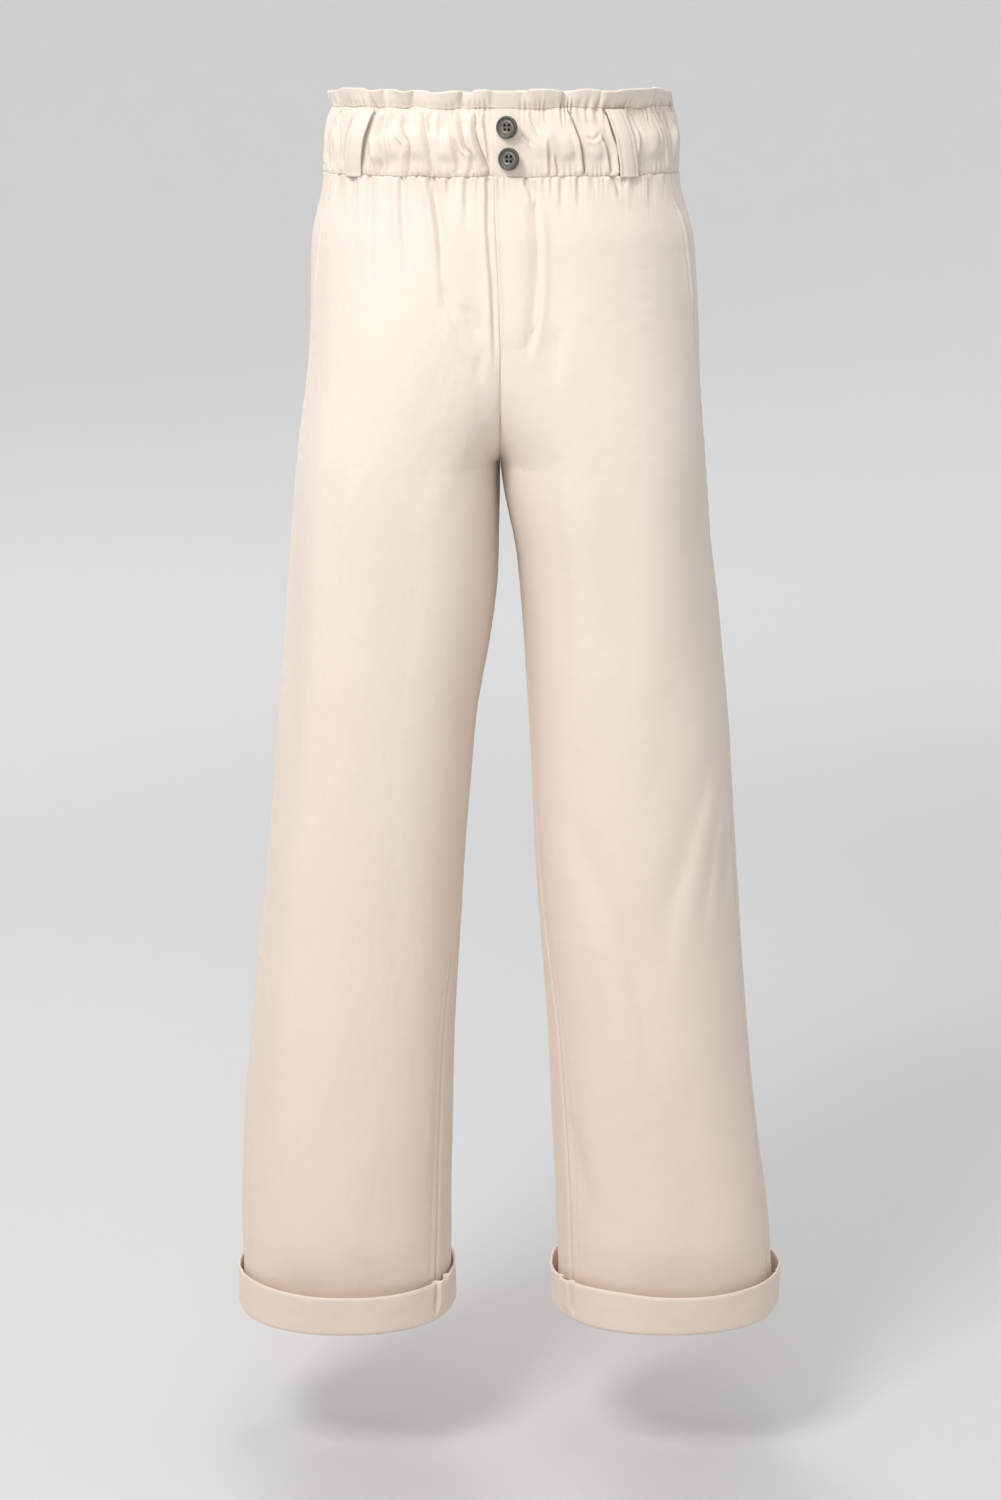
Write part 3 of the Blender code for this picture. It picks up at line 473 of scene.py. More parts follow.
# Creases of the waistband's front.
BAND_CREASES = (
    Crease(((-0.1345, 0.0230), (-0.1310, -0.0100), (-0.1330, -0.0280)), 0.0036, 0.0020, -0.4, 0.1, 0.1),
    Crease(
        ((-0.0980, 0.0200), (-0.0990, 0.0050), (-0.0960, -0.0120), (-0.0965, -0.0270)),
        0.0034,
        0.0026,
        -0.5,
        0.1,
        0.1,
    ),
    Crease(
        ((-0.0890, 0.0230), (-0.0905, 0.0080), (-0.0880, -0.0080), (-0.0895, -0.0270)),
        0.0030,
        0.0018,
        -0.4,
        0.1,
        0.1,
    ),
    Crease(
        (
            (-0.0807, 0.0210), (-0.0803, 0.0109), (-0.0774, 0.0032), (-0.0729, -0.0030), (-0.0726, -0.0076),
            (-0.0746, -0.0157), (-0.0750, -0.0270),
        ),
        0.0024,
        0.0034,
        -0.6,
        0.1,
        0.1,
    ),
    Crease(
        ((-0.0662, 0.0220), (-0.0615, 0.0071), (-0.0585, -0.0061), (-0.0575, -0.0157), (-0.0554, -0.0270)),
        0.0026,
        0.0028,
        -0.6,
        0.1,
        0.1,
    ),
    Crease(((-0.0568, 0.0220), (-0.0584, 0.0140), (-0.0560, 0.0030)), 0.0022, 0.0018, -0.5, 0.1, 0.4),
    Crease(((-0.0490, 0.0225), (-0.0480, 0.0080), (-0.0455, -0.0060)), 0.0030, 0.0014, -0.4, 0.1, 0.4),
    Crease(((-0.0404, 0.0060), (-0.0365, -0.0076), (-0.0344, -0.0250)), 0.0026, 0.0024, -0.6, 0.3, 0.1),
    Crease(
        ((-0.0364, 0.0220), (-0.0325, 0.0059), (-0.0286, -0.0068), (-0.0244, -0.0107), (-0.0240, -0.0270)),
        0.0024,
        0.0028,
        -0.6,
        0.1,
        0.1,
    ),
    Crease(
        ((-0.0228, 0.0220), (-0.0223, 0.0089), (-0.0184, -0.0061), (-0.0145, -0.0157), (-0.0100, -0.0275)),
        0.0026,
        0.0044,
        -0.6,
        0.1,
        0.1,
    ),
    Crease(((-0.0773, 0.0171), (-0.0765, 0.0100)), 0.0018, 0.0012, -0.4, 0.3, 0.3),
    Crease(((-0.0145, 0.0210), (-0.0105, -0.0020), (-0.0078, -0.0223)), 0.0022, 0.0018, -0.5, 0.1, 0.3),
    Crease(((0.0150, 0.0070), (0.0200, 0.0015), (0.0265, -0.0045)), 0.0019, 0.0020, -0.5, 0.2, 0.4),
    Crease(((0.0225, 0.0225), (0.0262, 0.0140), (0.0317, 0.0040)), 0.0026, 0.0018, -0.5, 0.1, 0.4),
    Crease(((0.0365, 0.0030), (0.0389, -0.0200), (0.0392, -0.0270)), 0.0026, 0.0018, -0.5, 0.3, 0.1),
    Crease(((0.0426, -0.0110), (0.0462, -0.0270)), 0.0022, 0.0020, -0.5, 0.3, 0.1),
    Crease(
        ((0.0545, 0.0225), (0.0586, 0.0098), (0.0637, -0.0118), (0.0655, -0.0270)),
        0.0024,
        0.0042,
        -0.6,
        0.08,
        0.08,
    ),
    Crease(((0.0672, 0.0040), (0.0715, 0.0002), (0.0803, 0.0070)), 0.0022, 0.0014, -0.5, 0.3, 0.3),
    Crease(((0.0785, 0.0050), (0.0847, -0.0099), (0.0868, -0.0270)), 0.0024, 0.0026, -0.5, 0.25, 0.1),
    Crease(
        ((0.0875, 0.0215), (0.0885, 0.0080), (0.0930, -0.0080), (0.0938, -0.0275)),
        0.0026,
        0.0040,
        -0.4,
        0.05,
        0.05,
    ),
    Crease(((0.1080, 0.0220), (0.1100, 0.0040), (0.1085, -0.0260)), 0.0034, 0.0020, -0.5, 0.1, 0.1),
    Crease(((0.1244, 0.0220), (0.1286, 0.0040), (0.1300, -0.0150)), 0.0024, 0.0022, -0.5, 0.1, 0.3),
    # The cloth sinks along the outer edges of the belt loops.
    Crease(((-0.1160, 0.0215), (-0.1236, 0.0010), (-0.1256, -0.0265)), 0.0040, 0.0034, -0.3, 0.05, 0.05),
    Crease(((0.1010, 0.0210), (0.1035, 0.0060)), 0.0026, 0.0012, 0.3, 0.1, 0.4),
    # Puffed lobes between the creases and beside the belt loops.
    Crease(((-0.0975, 0.0080), (-0.0968, -0.0080), (-0.0975, -0.0210)), 0.0055, -0.0028, 0.0, 0.3, 0.3),
    Crease(((-0.0860, 0.0140), (-0.0850, -0.0020), (-0.0840, -0.0180)), 0.0065, -0.0016, 0.0, 0.4, 0.3),
    Crease(((-0.0690, 0.0150), (-0.0670, 0.0010), (-0.0660, -0.0170)), 0.0065, -0.0018, 0.0, 0.4, 0.3),
    Crease(((-0.0470, 0.0130), (-0.0440, -0.0020), (-0.0440, -0.0180)), 0.0075, -0.0018, 0.0, 0.4, 0.3),
    Crease(((-0.0290, 0.0150), (-0.0260, 0.0010), (-0.0190, -0.0170)), 0.0050, -0.0016, 0.0, 0.4, 0.3),
    Crease(((0.0330, 0.0150), (0.0370, 0.0050), (0.0330, -0.0150)), 0.0075, -0.0018, 0.0, 0.4, 0.4),
    Crease(((0.0500, 0.0120), (0.0520, -0.0040), (0.0560, -0.0170)), 0.0060, -0.0016, 0.0, 0.4, 0.3),
    Crease(((0.0720, 0.0150), (0.0760, -0.0020), (0.0770, -0.0180)), 0.0070, -0.0018, 0.0, 0.4, 0.3),
    Crease(((0.1000, 0.0140), (0.1030, -0.0020), (0.1040, -0.0180)), 0.0080, -0.0016, 0.0, 0.4, 0.3),
    Crease(((0.1200, 0.0140), (0.1210, -0.0020), (0.1200, -0.0180)), 0.0070, -0.0016, 0.0, 0.4, 0.3),
    Crease(((0.1284, 0.0215), (0.1335, 0.0000), (0.1345, -0.0260)), 0.0026, 0.0026, -0.5, 0.1, 0.1),
)

# Gathers below the band start above GATHER_TOP and long drapes below DRAPE_TOP.
GATHER_TOP = -0.030
GATHER_GAIN = 1.15
GATHER_CRISP = 0.62
BAND_CRISP = 0.54
DRAPE_TOP = -0.175
DRAPE_GAIN = 0.80

# Facets of the frill's front edge: how far out it stands at x. Between two close rows with a big difference
# the cloth laps over itself.
Facet = namedtuple("Facet", "x out")
FRONT_FACETS = (
    Facet(-0.1440, -0.0008),
    Facet(-0.1380, 0.0002),
    Facet(-0.1330, -0.0012),
    Facet(-0.1290, 0.0010),
    Facet(-0.1200, 0.0014),
    Facet(-0.1070, -0.0014),
    Facet(-0.1003, 0.0032),
    Facet(-0.0965, -0.0022),
    Facet(-0.0918, -0.0018),
    Facet(-0.0755, 0.0032),
    Facet(-0.0729, -0.0016),
    Facet(-0.0624, -0.0020),
    Facet(-0.0503, 0.0002),
    Facet(-0.0360, 0.0028),
    Facet(-0.0336, -0.0020),
    Facet(-0.0218, -0.0002),
    Facet(-0.0090, 0.0018),
    Facet(-0.0066, 0.0000),
    Facet(0.0093, 0.0000),
    Facet(0.0112, -0.0014),
    Facet(0.0238, -0.0010),
    Facet(0.0258, 0.0024),
    Facet(0.0350, 0.0030),
    Facet(0.0458, 0.0016),
    Facet(0.0485, -0.0026),
    Facet(0.0600, 0.0004),
    Facet(0.0775, 0.0016),
    Facet(0.0798, -0.0016),
    Facet(0.0825, 0.0032),
    Facet(0.1000, 0.0030),
    Facet(0.1228, 0.0026),
    Facet(0.1250, -0.0024),
    Facet(0.1275, 0.0016),
    Facet(0.1330, 0.0010),
    Facet(0.1360, -0.0010),
    Facet(0.1440, -0.0006),
)
STEEP_RUN = 0.0045
STEEP_RISE = 0.0025
LAP = 0.0034
LAP_HALF_WIDTH = 0.0024
FACET_GAIN = 1.7
FACET_FOOT = 0.20
FACET_SPREAD = (-0.0009, -0.0003, 0.0003, 0.0009)

# Height of the frill's edge along the front.
Edge = namedtuple("Edge", "x height")
FRILL_EDGE = (
    Edge(-0.1440, 0.0360),
    Edge(-0.1380, 0.0362),
    Edge(-0.1260, 0.0386),
    Edge(-0.1110, 0.0386),
    Edge(-0.1060, 0.0369),
    Edge(-0.1003, 0.0369),
    Edge(-0.0975, 0.0382),
    Edge(-0.0850, 0.0378),
    Edge(-0.0755, 0.0362),
    Edge(-0.0729, 0.0376),
    Edge(-0.0600, 0.0372),
    Edge(-0.0570, 0.0356),
    Edge(-0.0430, 0.0361),
    Edge(-0.0340, 0.0371),
    Edge(-0.0310, 0.0351),
    Edge(-0.0235, 0.0353),
    Edge(-0.0215, 0.0377),
    Edge(-0.0100, 0.0381),
    Edge(-0.0060, 0.0373),
    Edge(0.0090, 0.0370),
    Edge(0.0235, 0.0366),
    Edge(0.0252, 0.0386),
    Edge(0.0410, 0.0384),
    Edge(0.0475, 0.0366),
    Edge(0.0525, 0.0361),
    Edge(0.0590, 0.0374),
    Edge(0.0680, 0.0387),
    Edge(0.0810, 0.0371),
    Edge(0.0885, 0.0363),
    Edge(0.0940, 0.0377),
    Edge(0.1210, 0.0386),
    Edge(0.1255, 0.0392),
    Edge(0.1320, 0.0372),
    Edge(0.1380, 0.0366),
    Edge(0.1440, 0.0360),
)

# A crease's wall is steeper on the side of its lip.
STEEP_SIDE = 0.70
GENTLE_SIDE = 1.45
LIP_PLACE = 1.7
CREASE_REACH = 4
PATH_POINTS = 20
NOISE_LATTICE = 64


def soft_noise(u, v, size, seed):
    """Smooth noise of about -1 to 1 over (u, v), whose lumps are about size across."""
    lattice = np.random.default_rng(seed).uniform(-1.0, 1.0, (NOISE_LATTICE, NOISE_LATTICE))
    u, v = np.broadcast_arrays(u / size, v / size)
    i, j = np.floor(u).astype(int), np.floor(v).astype(int)
    s, t = smoothstep(u - i), smoothstep(v - j)
    corner = [lattice[(i + a) % NOISE_LATTICE, (j + b) % NOISE_LATTICE] for a in (0, 1) for b in (0, 1)]
    return (corner[0] * (1 - s) + corner[2] * s) * (1 - t) + (corner[1] * (1 - s) + corner[3] * s) * t


def smooth_path(path):
    """A path's points joined by one smooth curve."""
    points = np.array(path)
    run = run_along(points)
    at = np.linspace(0.0, run[-1], PATH_POINTS)
    if len(points) == 2:
        return np.stack([np.interp(at, run, points[:, k]) for k in (0, 1)], axis=-1)
    return np.stack([smooth_through(run, points[:, k])(at) for k in (0, 1)], axis=-1)


def crease_lift(crease, across, height):
    """How far one crease moves the cloth out at places given by (across, height)."""
    path = smooth_path(crease.path)
    reach = crease.half_width * CREASE_REACH
    near = (across > path[:, 0].min() - reach) & (across < path[:, 0].max() + reach)
    near &= (height > path[:, 1].min() - reach) & (height < path[:, 1].max() + reach)
    lift = np.zeros(across.shape)
    if not near.any():
        return lift
    spot = np.stack([across[near], height[near]], axis=-1)
    best = np.full(len(spot), np.inf)
    signed = np.zeros(len(spot))
    along = np.zeros(len(spot))
    for k in range(len(path) - 1):
        step = path[k + 1] - path[k]
        share = np.clip(((spot - path[k]) @ step) / (step @ step), 0.0, 1.0)
        away = spot - (path[k] + share[:, None] * step)
        distance = np.linalg.norm(away, axis=1)
        closer = distance < best
        best[closer] = distance[closer]
        turned = away @ np.array([-step[1], step[0]])
        signed[closer] = (distance * np.sign(turned))[closer]
        along[closer] = ((k + share) / (len(path) - 1))[closer]
    fade = smoothstep(along / crease.rise) * smoothstep((1 - along) / crease.fall)
    towards_lip = np.sign(crease.lip) * signed
    steep = np.where(towards_lip > 0, STEEP_SIDE, GENTLE_SIDE) if crease.lip else 1.0
    dip = bell(best, crease.half_width * steep)
    lip = abs(crease.lip) * bell(towards_lip - LIP_PLACE * crease.half_width, crease.half_width)
    lift[near] = -crease.depth * fade * (dip - lip)
    return lift


def sharpened(creases):
    """A panel's creases with its gathers made deeper and narrower, and its long drapes shallower."""
    made = []
    for crease in creases:
        if crease.path[0][1] > GATHER_TOP:
            crease = crease._replace(
                depth=crease.depth * GATHER_GAIN,
                half_width=crease.half_width * GATHER_CRISP,
            )
        elif crease.path[0][1] < DRAPE_TOP:
            crease = crease._replace(depth=crease.depth * DRAPE_GAIN)
        made.append(crease)
    return made


def creases_lift(creases, across, height):
    return sum((crease_lift(crease, across, height) for crease in creases), np.zeros(across.shape))


# Creases of the back, spread by rule: gathers under the band, drapes of the legs, and drags from the crotch.
BACK_GATHERS = 26
BACK_GATHER_START = -0.128
BACK_GATHER_STEP = 0.0103
BACK_GATHER_TOP = -0.027
BACK_DRAPES = 5
BACK_DRAPE_TOP = -0.300
BACK_DRAPE_STEP = 0.110
Drag = namedtuple("Drag", "path half_width depth")
BACK_DRAGS = (
    Drag(((0.012, -0.170), (0.034, -0.215), (0.070, -0.262)), 0.0090, 0.0026),
    Drag(((0.010, -0.215), (0.030, -0.262), (0.052, -0.330)), 0.0080, 0.0024),
)


def sway(k, rate, phase=0.0):
    """An uneven value from -1 to 1 for the k-th of a row of creases."""
    return sin(rate * k + phase)


def back_gather(k):
    top = BACK_GATHER_TOP
    x = BACK_GATHER_START + BACK_GATHER_STEP * k + 0.0028 * sway(k, 2.7)
    length = 0.026 + 0.050 * (0.5 + 0.5 * sway(k, 1.9, 0.6)) ** 2
    depth = 0.0014 + 0.0016 * (0.5 + 0.5 * sway(k, 3.3))
    slant = 0.004 * sway(k, 1.3)
    path = ((x, top), (x + slant * 0.4, top - length * 0.5), (x + slant, top - length))
    return Crease(path, 0.0034 + 0.0010 * sway(k, 2.1), depth, 0.4 * (-1) ** k, 0.02, 0.85)


def back_drape(side, k):
    top = BACK_DRAPE_TOP - BACK_DRAPE_STEP * k
    x = side * (0.070 + 0.018 * k + 0.012 * sway(k, 2.2, side))
    path = ((x, top), (x + side * 0.014, top - 0.12), (x + side * 0.020, top - 0.25))
    return Crease(path, 0.016 + 0.004 * sway(k, 1.7), 0.0026 * (-1) ** k, 0.3, 0.4, 0.4)


def back_creases():
    """Creases of the back: gathers under the band, long drapes down the legs and drags from the crotch."""
    made = [back_gather(k) for k in range(BACK_GATHERS)]
    for side in (LEFT, RIGHT):
        made.extend(back_drape(side, k) for k in range(BACK_DRAPES))
        for drag in BACK_DRAGS:
            path = tuple((side * x, z) for x, z in drag.path)
            made.append(Crease(path, drag.half_width, drag.depth, 0.4 * side, 0.3, 0.5))
    return made


BACK_CREASES = back_creases()

# Creases and facets that go round the sides and the back of the waist.
HIDDEN_START = 0.158
HIDDEN_STEP = 0.0150
HIDDEN_COUNT = 16
HIDDEN_FACETS_START = 0.010
HIDDEN_FACETS_END = 0.020
SHORT_STEP = 0.0026
LONG_STEP = 0.0060


def hidden_band_creases():
    """Creases of the waistband's sides and back, by run round the waist."""
    made = []
    for side in (LEFT, RIGHT):
        for k in range(HIDDEN_COUNT):
            run = side * (HIDDEN_START + HIDDEN_STEP * k + 0.0040 * sway(k, 2.3, side))
            slant = 0.006 * sway(k, 1.7, 2.0 * side)
            bow = 0.003 * sway(k, 2.9, side)
            depth = 0.0026 + 0.0012 * sway(k, 1.3, side)
            path = ((run - slant, 0.0220), (run + bow, 0.0010), (run + slant, -0.0270))
            made.append(Crease(path, 0.0022 + 0.0005 * sway(k, 3.1), depth, 0.4 * (-1) ** k, 0.1, 0.1))
    return made


def by_run(crease):
    """A front crease of the band, given by x, with its path turned into runs round the waist."""
    path = tuple((float(run_at(x)), z) for x, z in crease.path)
    crisp = BAND_CRISP if crease.depth > 0 else 1.0
    return crease._replace(path=path, half_width=crease.half_width * crisp)


RING_CREASES = (*(by_run(crease) for crease in BAND_CREASES), *hidden_band_creases())


def ring_facets():
    """The frill's facets all round, as (run, out): the front's as listed, and the rest alike by rule."""
    made = [(float(run_at(facet.x)), facet.out) for facet in FRONT_FACETS]
    first, last = made[0][0], made[-1][0]
    run = last + HIDDEN_FACETS_START
    k = 0
    while run < first + WAIST_ROUND - HIDDEN_FACETS_END:
        width = 0.013 + 0.010 * abs(sway(k, 1.7, 0.4))
        high = 0.0024 + 0.0010 * sway(k, 2.3)
        low = -0.0018 - 0.0006 * sway(k, 1.1)
        made.append((run, low if k % 2 else high))
        run += width
        made.append((run, high if k % 2 else low))
        run += SHORT_STEP if k % 3 else LONG_STEP
        k += 1
    made.append((first + WAIST_ROUND, made[0][1]))
    return np.array(made)


RING_FACETS = ring_facets()


def lap_places():
    """Where the frill laps over itself, and which way, from its steepest facets."""
    made = []
    for (run, out), (next_run, next_out) in zip(RING_FACETS[:-1], RING_FACETS[1:]):
        if next_run - run < STEEP_RUN and abs(next_out - out) > STEEP_RISE:
            made.append(((run + next_run) / 2, np.sign(out - next_out)))
    return made


RING_LAPS = lap_places()


# ----------------------------------------------------------------------------
# Meshes.
# ----------------------------------------------------------------------------

RIM_ROUND = 0.2


def mesh_object(name, vertices, faces, material, coordinates=None):
    """An object from vertices and faces, with its cloth coordinates, in metres, as a UV map."""
    mesh = bpy.data.meshes.new(name)
    mesh.from_pydata(np.asarray(vertices).tolist(), [], np.asarray(faces).tolist())
    mesh.materials.append(material)
    mesh.shade_smooth()
    if coordinates is not None:
        layer = mesh.uv_layers.new(name="cloth")
        corners = np.empty(len(mesh.loops), np.int32)
        mesh.loops.foreach_get("vertex_index", corners)
        layer.data.foreach_set("uv", np.asarray(coordinates, np.float32)[corners].ravel())
    made = bpy.data.objects.new(name, mesh)
    bpy.context.scene.collection.objects.link(made)
    return made


def grid_normals(grid):
    """Unit normals of a grid of points, from its rows and columns."""
    across = np.gradient(grid, axis=1)
    down = np.gradient(grid, axis=0)
    normals = np.cross(across, down)
    return normals / np.maximum(np.linalg.norm(normals, axis=-1, keepdims=True), 1e-12)


def grid_faces(rows, columns, wrapped=False, start=0):
    across = columns if wrapped else columns - 1
    r, c = np.meshgrid(np.arange(rows - 1), np.arange(across), indexing="ij")
    after = (c + 1) % columns
    corners = [r * columns + c, (r + 1) * columns + c, (r + 1) * columns + after, r * columns + after]
    return start + np.stack(corners, axis=-1).reshape(-1, 4)


def shell(name, grid, outwards, wall, coordinates, material):
    """A closed thin shell on a grid of outer points: an inner face one wall further in, and a rounded rim."""
    normals = grid_normals(grid)
    if np.sum(normals * outwards) < 0:
        normals = -normals
    rows, columns = grid.shape[:2]
    inner = grid - wall * normals
    count = rows * columns
    outer_faces = grid_faces(rows, columns)
    inner_faces = grid_faces(rows, columns, start=count)
    border = np.concatenate(
        [
            np.arange(columns),
            np.arange(1, rows) * columns + columns - 1,
            (rows - 1) * columns + np.arange(columns - 2, -1, -1),
            np.arange(rows - 2, 0, -1) * columns,
        ]
    )
    middle = (grid + inner).reshape(-1, 3)[border] / 2
    inside = np.clip(border // columns, 1, rows - 2) * columns
    inside = inside + np.clip(border % columns, 1, columns - 2)
    away = middle - (grid + inner).reshape(-1, 3)[inside] / 2
    away /= np.maximum(np.linalg.norm(away, axis=1, keepdims=True), 1e-12)
    rounded = middle + away * wall * RIM_ROUND
    rim = 2 * count + np.arange(len(border))
    following = np.roll(np.arange(len(border)), -1)
    outer_rim = np.stack([border, border[following], rim[following], rim], axis=-1)
    inner_rim = np.stack([rim, rim[following], border[following] + count, border + count], axis=-1)
    faces = np.concatenate([outer_faces, inner_faces[:, ::-1], outer_rim, inner_rim])
    vertices = np.concatenate([grid.reshape(-1, 3), inner.reshape(-1, 3), rounded])
    flat = coordinates.reshape(-1, 2)
    made = mesh_object(name, vertices, faces, material, np.concatenate([flat, flat, flat[border]]))
    face_outwards(made)
    return made


def face_outwards(made):
    shape = bmesh.new()
    shape.from_mesh(made.data)
    bmesh.ops.recalc_face_normals(shape, faces=shape.faces)
    shape.to_mesh(made.data)
    shape.free()


# ----------------------------------------------------------------------------
# Panels.
# ----------------------------------------------------------------------------

Sheet = namedtuple("Sheet", "grid outwards stations heights")
FLY_RAISE = 0.0010
FLY_EASE = 0.0030
FLY_STITCH_SHARE = 0.965
FLY_EDGE_RAISE = 0.0008
FLY_EDGE_WIDTH = 0.0032
POCKET_TOP = -0.046
POCKET_BOTTOM = -0.150
SIDE_CALM = 0.010
INNER_CALM = 0.006
NEAR_BAND = 0.008

# Small shapes beside a seam: a rounded rise at a place across from it, or a groove where the rise is
# negative.
Swell = namedtuple("Swell", "place rise half_width")
BAND_PULL = Swell(0.0, -0.0002, 0.006)
SIDE_ROLL = Swell(0.0, -0.00081, 0.0022)
SIDE_PUCKER = Swell(0.006, 0.00028, 0.006)
POCKET_LIP = Swell(0.0, 0.0022, 0.010)
POCKET_STITCHED = Swell(0.0075, -0.0007, 0.0011)
POCKET_UNDER = Swell(0.0, -0.0024, 0.007)
INSEAM_ROLL = Swell(0.0, -0.00081, 0.0020)
INSEAM_PUCKER = {"front": Swell(0.0115, 0.00055, 0.0048), "back": Swell(0.006, 0.0003, 0.004)}
INSEAM_STITCHED = Swell(0.0085, -0.0004, 0.0014)
CENTRE_BACK = Swell(0.0, -0.0009, 0.0022)
CENTRE_LEFT = Swell(0.0, -0.0006, 0.0022)
CENTRE_RIGHT = Swell(0.0, -0.0006, 0.0030)
UNDER_FLY = Swell(0.0, -0.0010, 0.0030)
FLY_STITCHED = Swell(0.0, -0.0009, 0.0013)

# Gathers just under the band, slackness of the cloth, and how far the turn-up holds the leg's end in.
UNDER_BAND_GATHER = 0.0011
UNDER_BAND_REACH = 0.009
SLACK_START = 0.05
SLACK_EDGE = 0.02
CRUMPLE = 0.00016
HEM_START = -0.925
HEM_RUN = 0.040
HEM_IN = 0.0010
HEM_MIDDLE_IN = {"front": 0.0035, "back": 0.0010}

# The centre seam lies in a valley, where the left panel laps a little under the right one.
VALLEY_HALF_WIDTH = 0.0045
UNDERLAP_HALF_WIDTH = 0.0012
UNDERLAP_DEPTH = 0.0007
UNDERLAP_REACH = 0.0008


def swell(distance, shape):
    """How far one small shape moves the cloth out at a distance from its seam."""
    return shape.rise * bell(distance - shape.place, shape.half_width)


def puckers(run, pitch, unevenness, size, seed):
    """An uneven wave from -1 to 1 along a stitched seam."""
    return np.sin(2 * pi * (run / pitch + unevenness * soft_noise(run, 0 * run, size, seed)))


def fly_width(height):
    """Width of the fly's stitched facing: straight, then rounded in to its foot, as a J."""
    down = np.clip((FLY_CURVE_TOP - height) / (FLY_CURVE_TOP - FLY_BOTTOM), 0.0, 1.0)
    return FLY_WIDTH * np.sqrt(1.0 - down * down)


def fly_stitch_line(height):
    """How far from the fly's edge its stitching runs."""
    return fly_width(height) * FLY_STITCH_SHARE


def panel_sheet(side, face):
    """A panel's outer face with its creases."""
    rows = [panel_row(side, face, height) for height in PANEL_HEIGHTS]
    grid = np.array([row[0] for row in rows])
    outwards = np.array([row[1] for row in rows])
    stations = np.array([row[2] for row in rows])
    x, z = grid[..., 0], grid[..., 2]
    from_side = stations
    from_inner = stations[:, -1:] - stations
    creases = FRONT_CREASES if face == "front" else BACK_CREASES
    lift = creases_lift(sharpened(creases), x, z)
    lift *= smoothstep(from_side / SIDE_CALM) * smoothstep(from_inner / INNER_CALM)
    lift += panel_finish(side, face, x, z, from_side, from_inner)
    valley = bell(from_inner, VALLEY_HALF_WIDTH) * (z > CROTCH) * (1 - outwards[..., 1] ** 2)
    lift *= 1 - valley
    if side == LEFT:
        low = smoothstep((FLY_BOTTOM + 0.004 - z) / 0.006) if face == "front" else 1.0
        under = bell(from_inner, UNDERLAP_HALF_WIDTH) * (z > CROTCH + 0.0005) * low
        lift -= UNDERLAP_DEPTH * under * outwards[..., 1] ** 2
        grid[..., 0] -= UNDERLAP_REACH * under
    grid = grid + outwards * lift[..., None]
    near_band = bell(BAND_BOTTOM - z, NEAR_BAND)
    grid[..., 2] += seam_wander(x, grid[..., 1], LOW_WANDER) * near_band
    return Sheet(grid, outwards, stations, PANEL_HEIGHTS)


def panel_finish(side, face, x, z, from_side, from_inner):
    """The small shapes of a panel: seams, puckers, the fly's raised edge, pocket mouths, and slackness."""
    seed = (1 if side == LEFT else 2) + (0 if face == "front" else 2)
    below_band = BAND_BOTTOM - z
    lift = swell(np.maximum(below_band, 0.0), BAND_PULL)
    lift += UNDER_BAND_GATHER * np.exp(-below_band / UNDER_BAND_REACH) * shirring(x, 33)
    slack = 0.0012 * soft_noise(x, z * 0.45, 0.034, seed) + 0.0022 * soft_noise(x, z * 0.4, 0.085, seed + 9)
    free = smoothstep(from_inner / SLACK_EDGE) * smoothstep(from_side / SLACK_EDGE)
    lift += slack * smoothstep(below_band / SLACK_START) * free
    lift += CRUMPLE * soft_noise(x + 0.4 * from_side, z, 0.0060, seed + 5)
    lift += swell(from_side, SIDE_ROLL)
    lift += side_seam_finish(face, z, from_side, seed)
    lift += inner_seam_finish(side, face, z, from_inner, seed)
    middle = 4 * from_side * from_inner / (from_side + from_inner) ** 2
    drawn_in = HEM_IN + HEM_MIDDLE_IN[face] * middle**2
    return lift - drawn_in * smoothstep((HEM_START - z) / HEM_RUN)


def side_seam_finish(face, z, from_side, seed):
    """Puckers along the side seam, and the pocket's mouth, whose front edge stands a little off."""
    wave = puckers(z, 0.0125, 0.6, 0.03, seed + 3)
    lift = wave * swell(from_side, SIDE_PUCKER) * (z < POCKET_BOTTOM)
    mouth = smoothstep((POCKET_TOP - z) / 0.020) * smoothstep((z - POCKET_BOTTOM) / 0.030)
    if face == "front":
        return lift + mouth * (swell(from_side, POCKET_LIP) + swell(from_side, POCKET_STITCHED))
    return lift + mouth * swell(from_side, POCKET_UNDER)


def inner_seam_finish(side, face, z, from_inner, seed):
    """Above the crotch the centre seam, with the fly in front; below it the puckered inseam."""
    legs = z < CROTCH - 0.02
    centre = ~legs
    wave = puckers(z, 0.0092, 0.35, 0.04, seed + 7)
    lift = wave * swell(from_inner, INSEAM_PUCKER[face])
    if face == "front":
        lift = lift + swell(from_inner, INSEAM_STITCHED)
    lift = lift * smoothstep((-0.46 - z) / 0.12) * legs + legs * swell(from_inner, INSEAM_ROLL)
    if face == "back":
        return lift + centre * swell(from_inner, CENTRE_BACK)
    fly = smoothstep((z - FLY_BOTTOM) / 0.012)
    if side == RIGHT:
        return lift + centre * (swell(from_inner, CENTRE_RIGHT) + fly * swell(from_inner, UNDER_FLY))
    placket = FLY_RAISE * smoothstep((fly_width(z) - from_inner) / FLY_EASE)
    edge = FLY_EDGE_RAISE * smoothstep((FLY_EDGE_WIDTH - from_inner) / FLY_EASE)
    stitched = swell(from_inner - fly_stitch_line(z), FLY_STITCHED)
    return lift + centre * (fly * (placket + edge + stitched) + (1 - fly) * swell(from_inner, CENTRE_LEFT))


def sheet_coordinates(sheet):
    """Cloth coordinates: across by station and down by height."""
    down = np.broadcast_to(sheet.heights[:, None], sheet.stations.shape)
    return np.stack([sheet.stations, down], axis=-1)


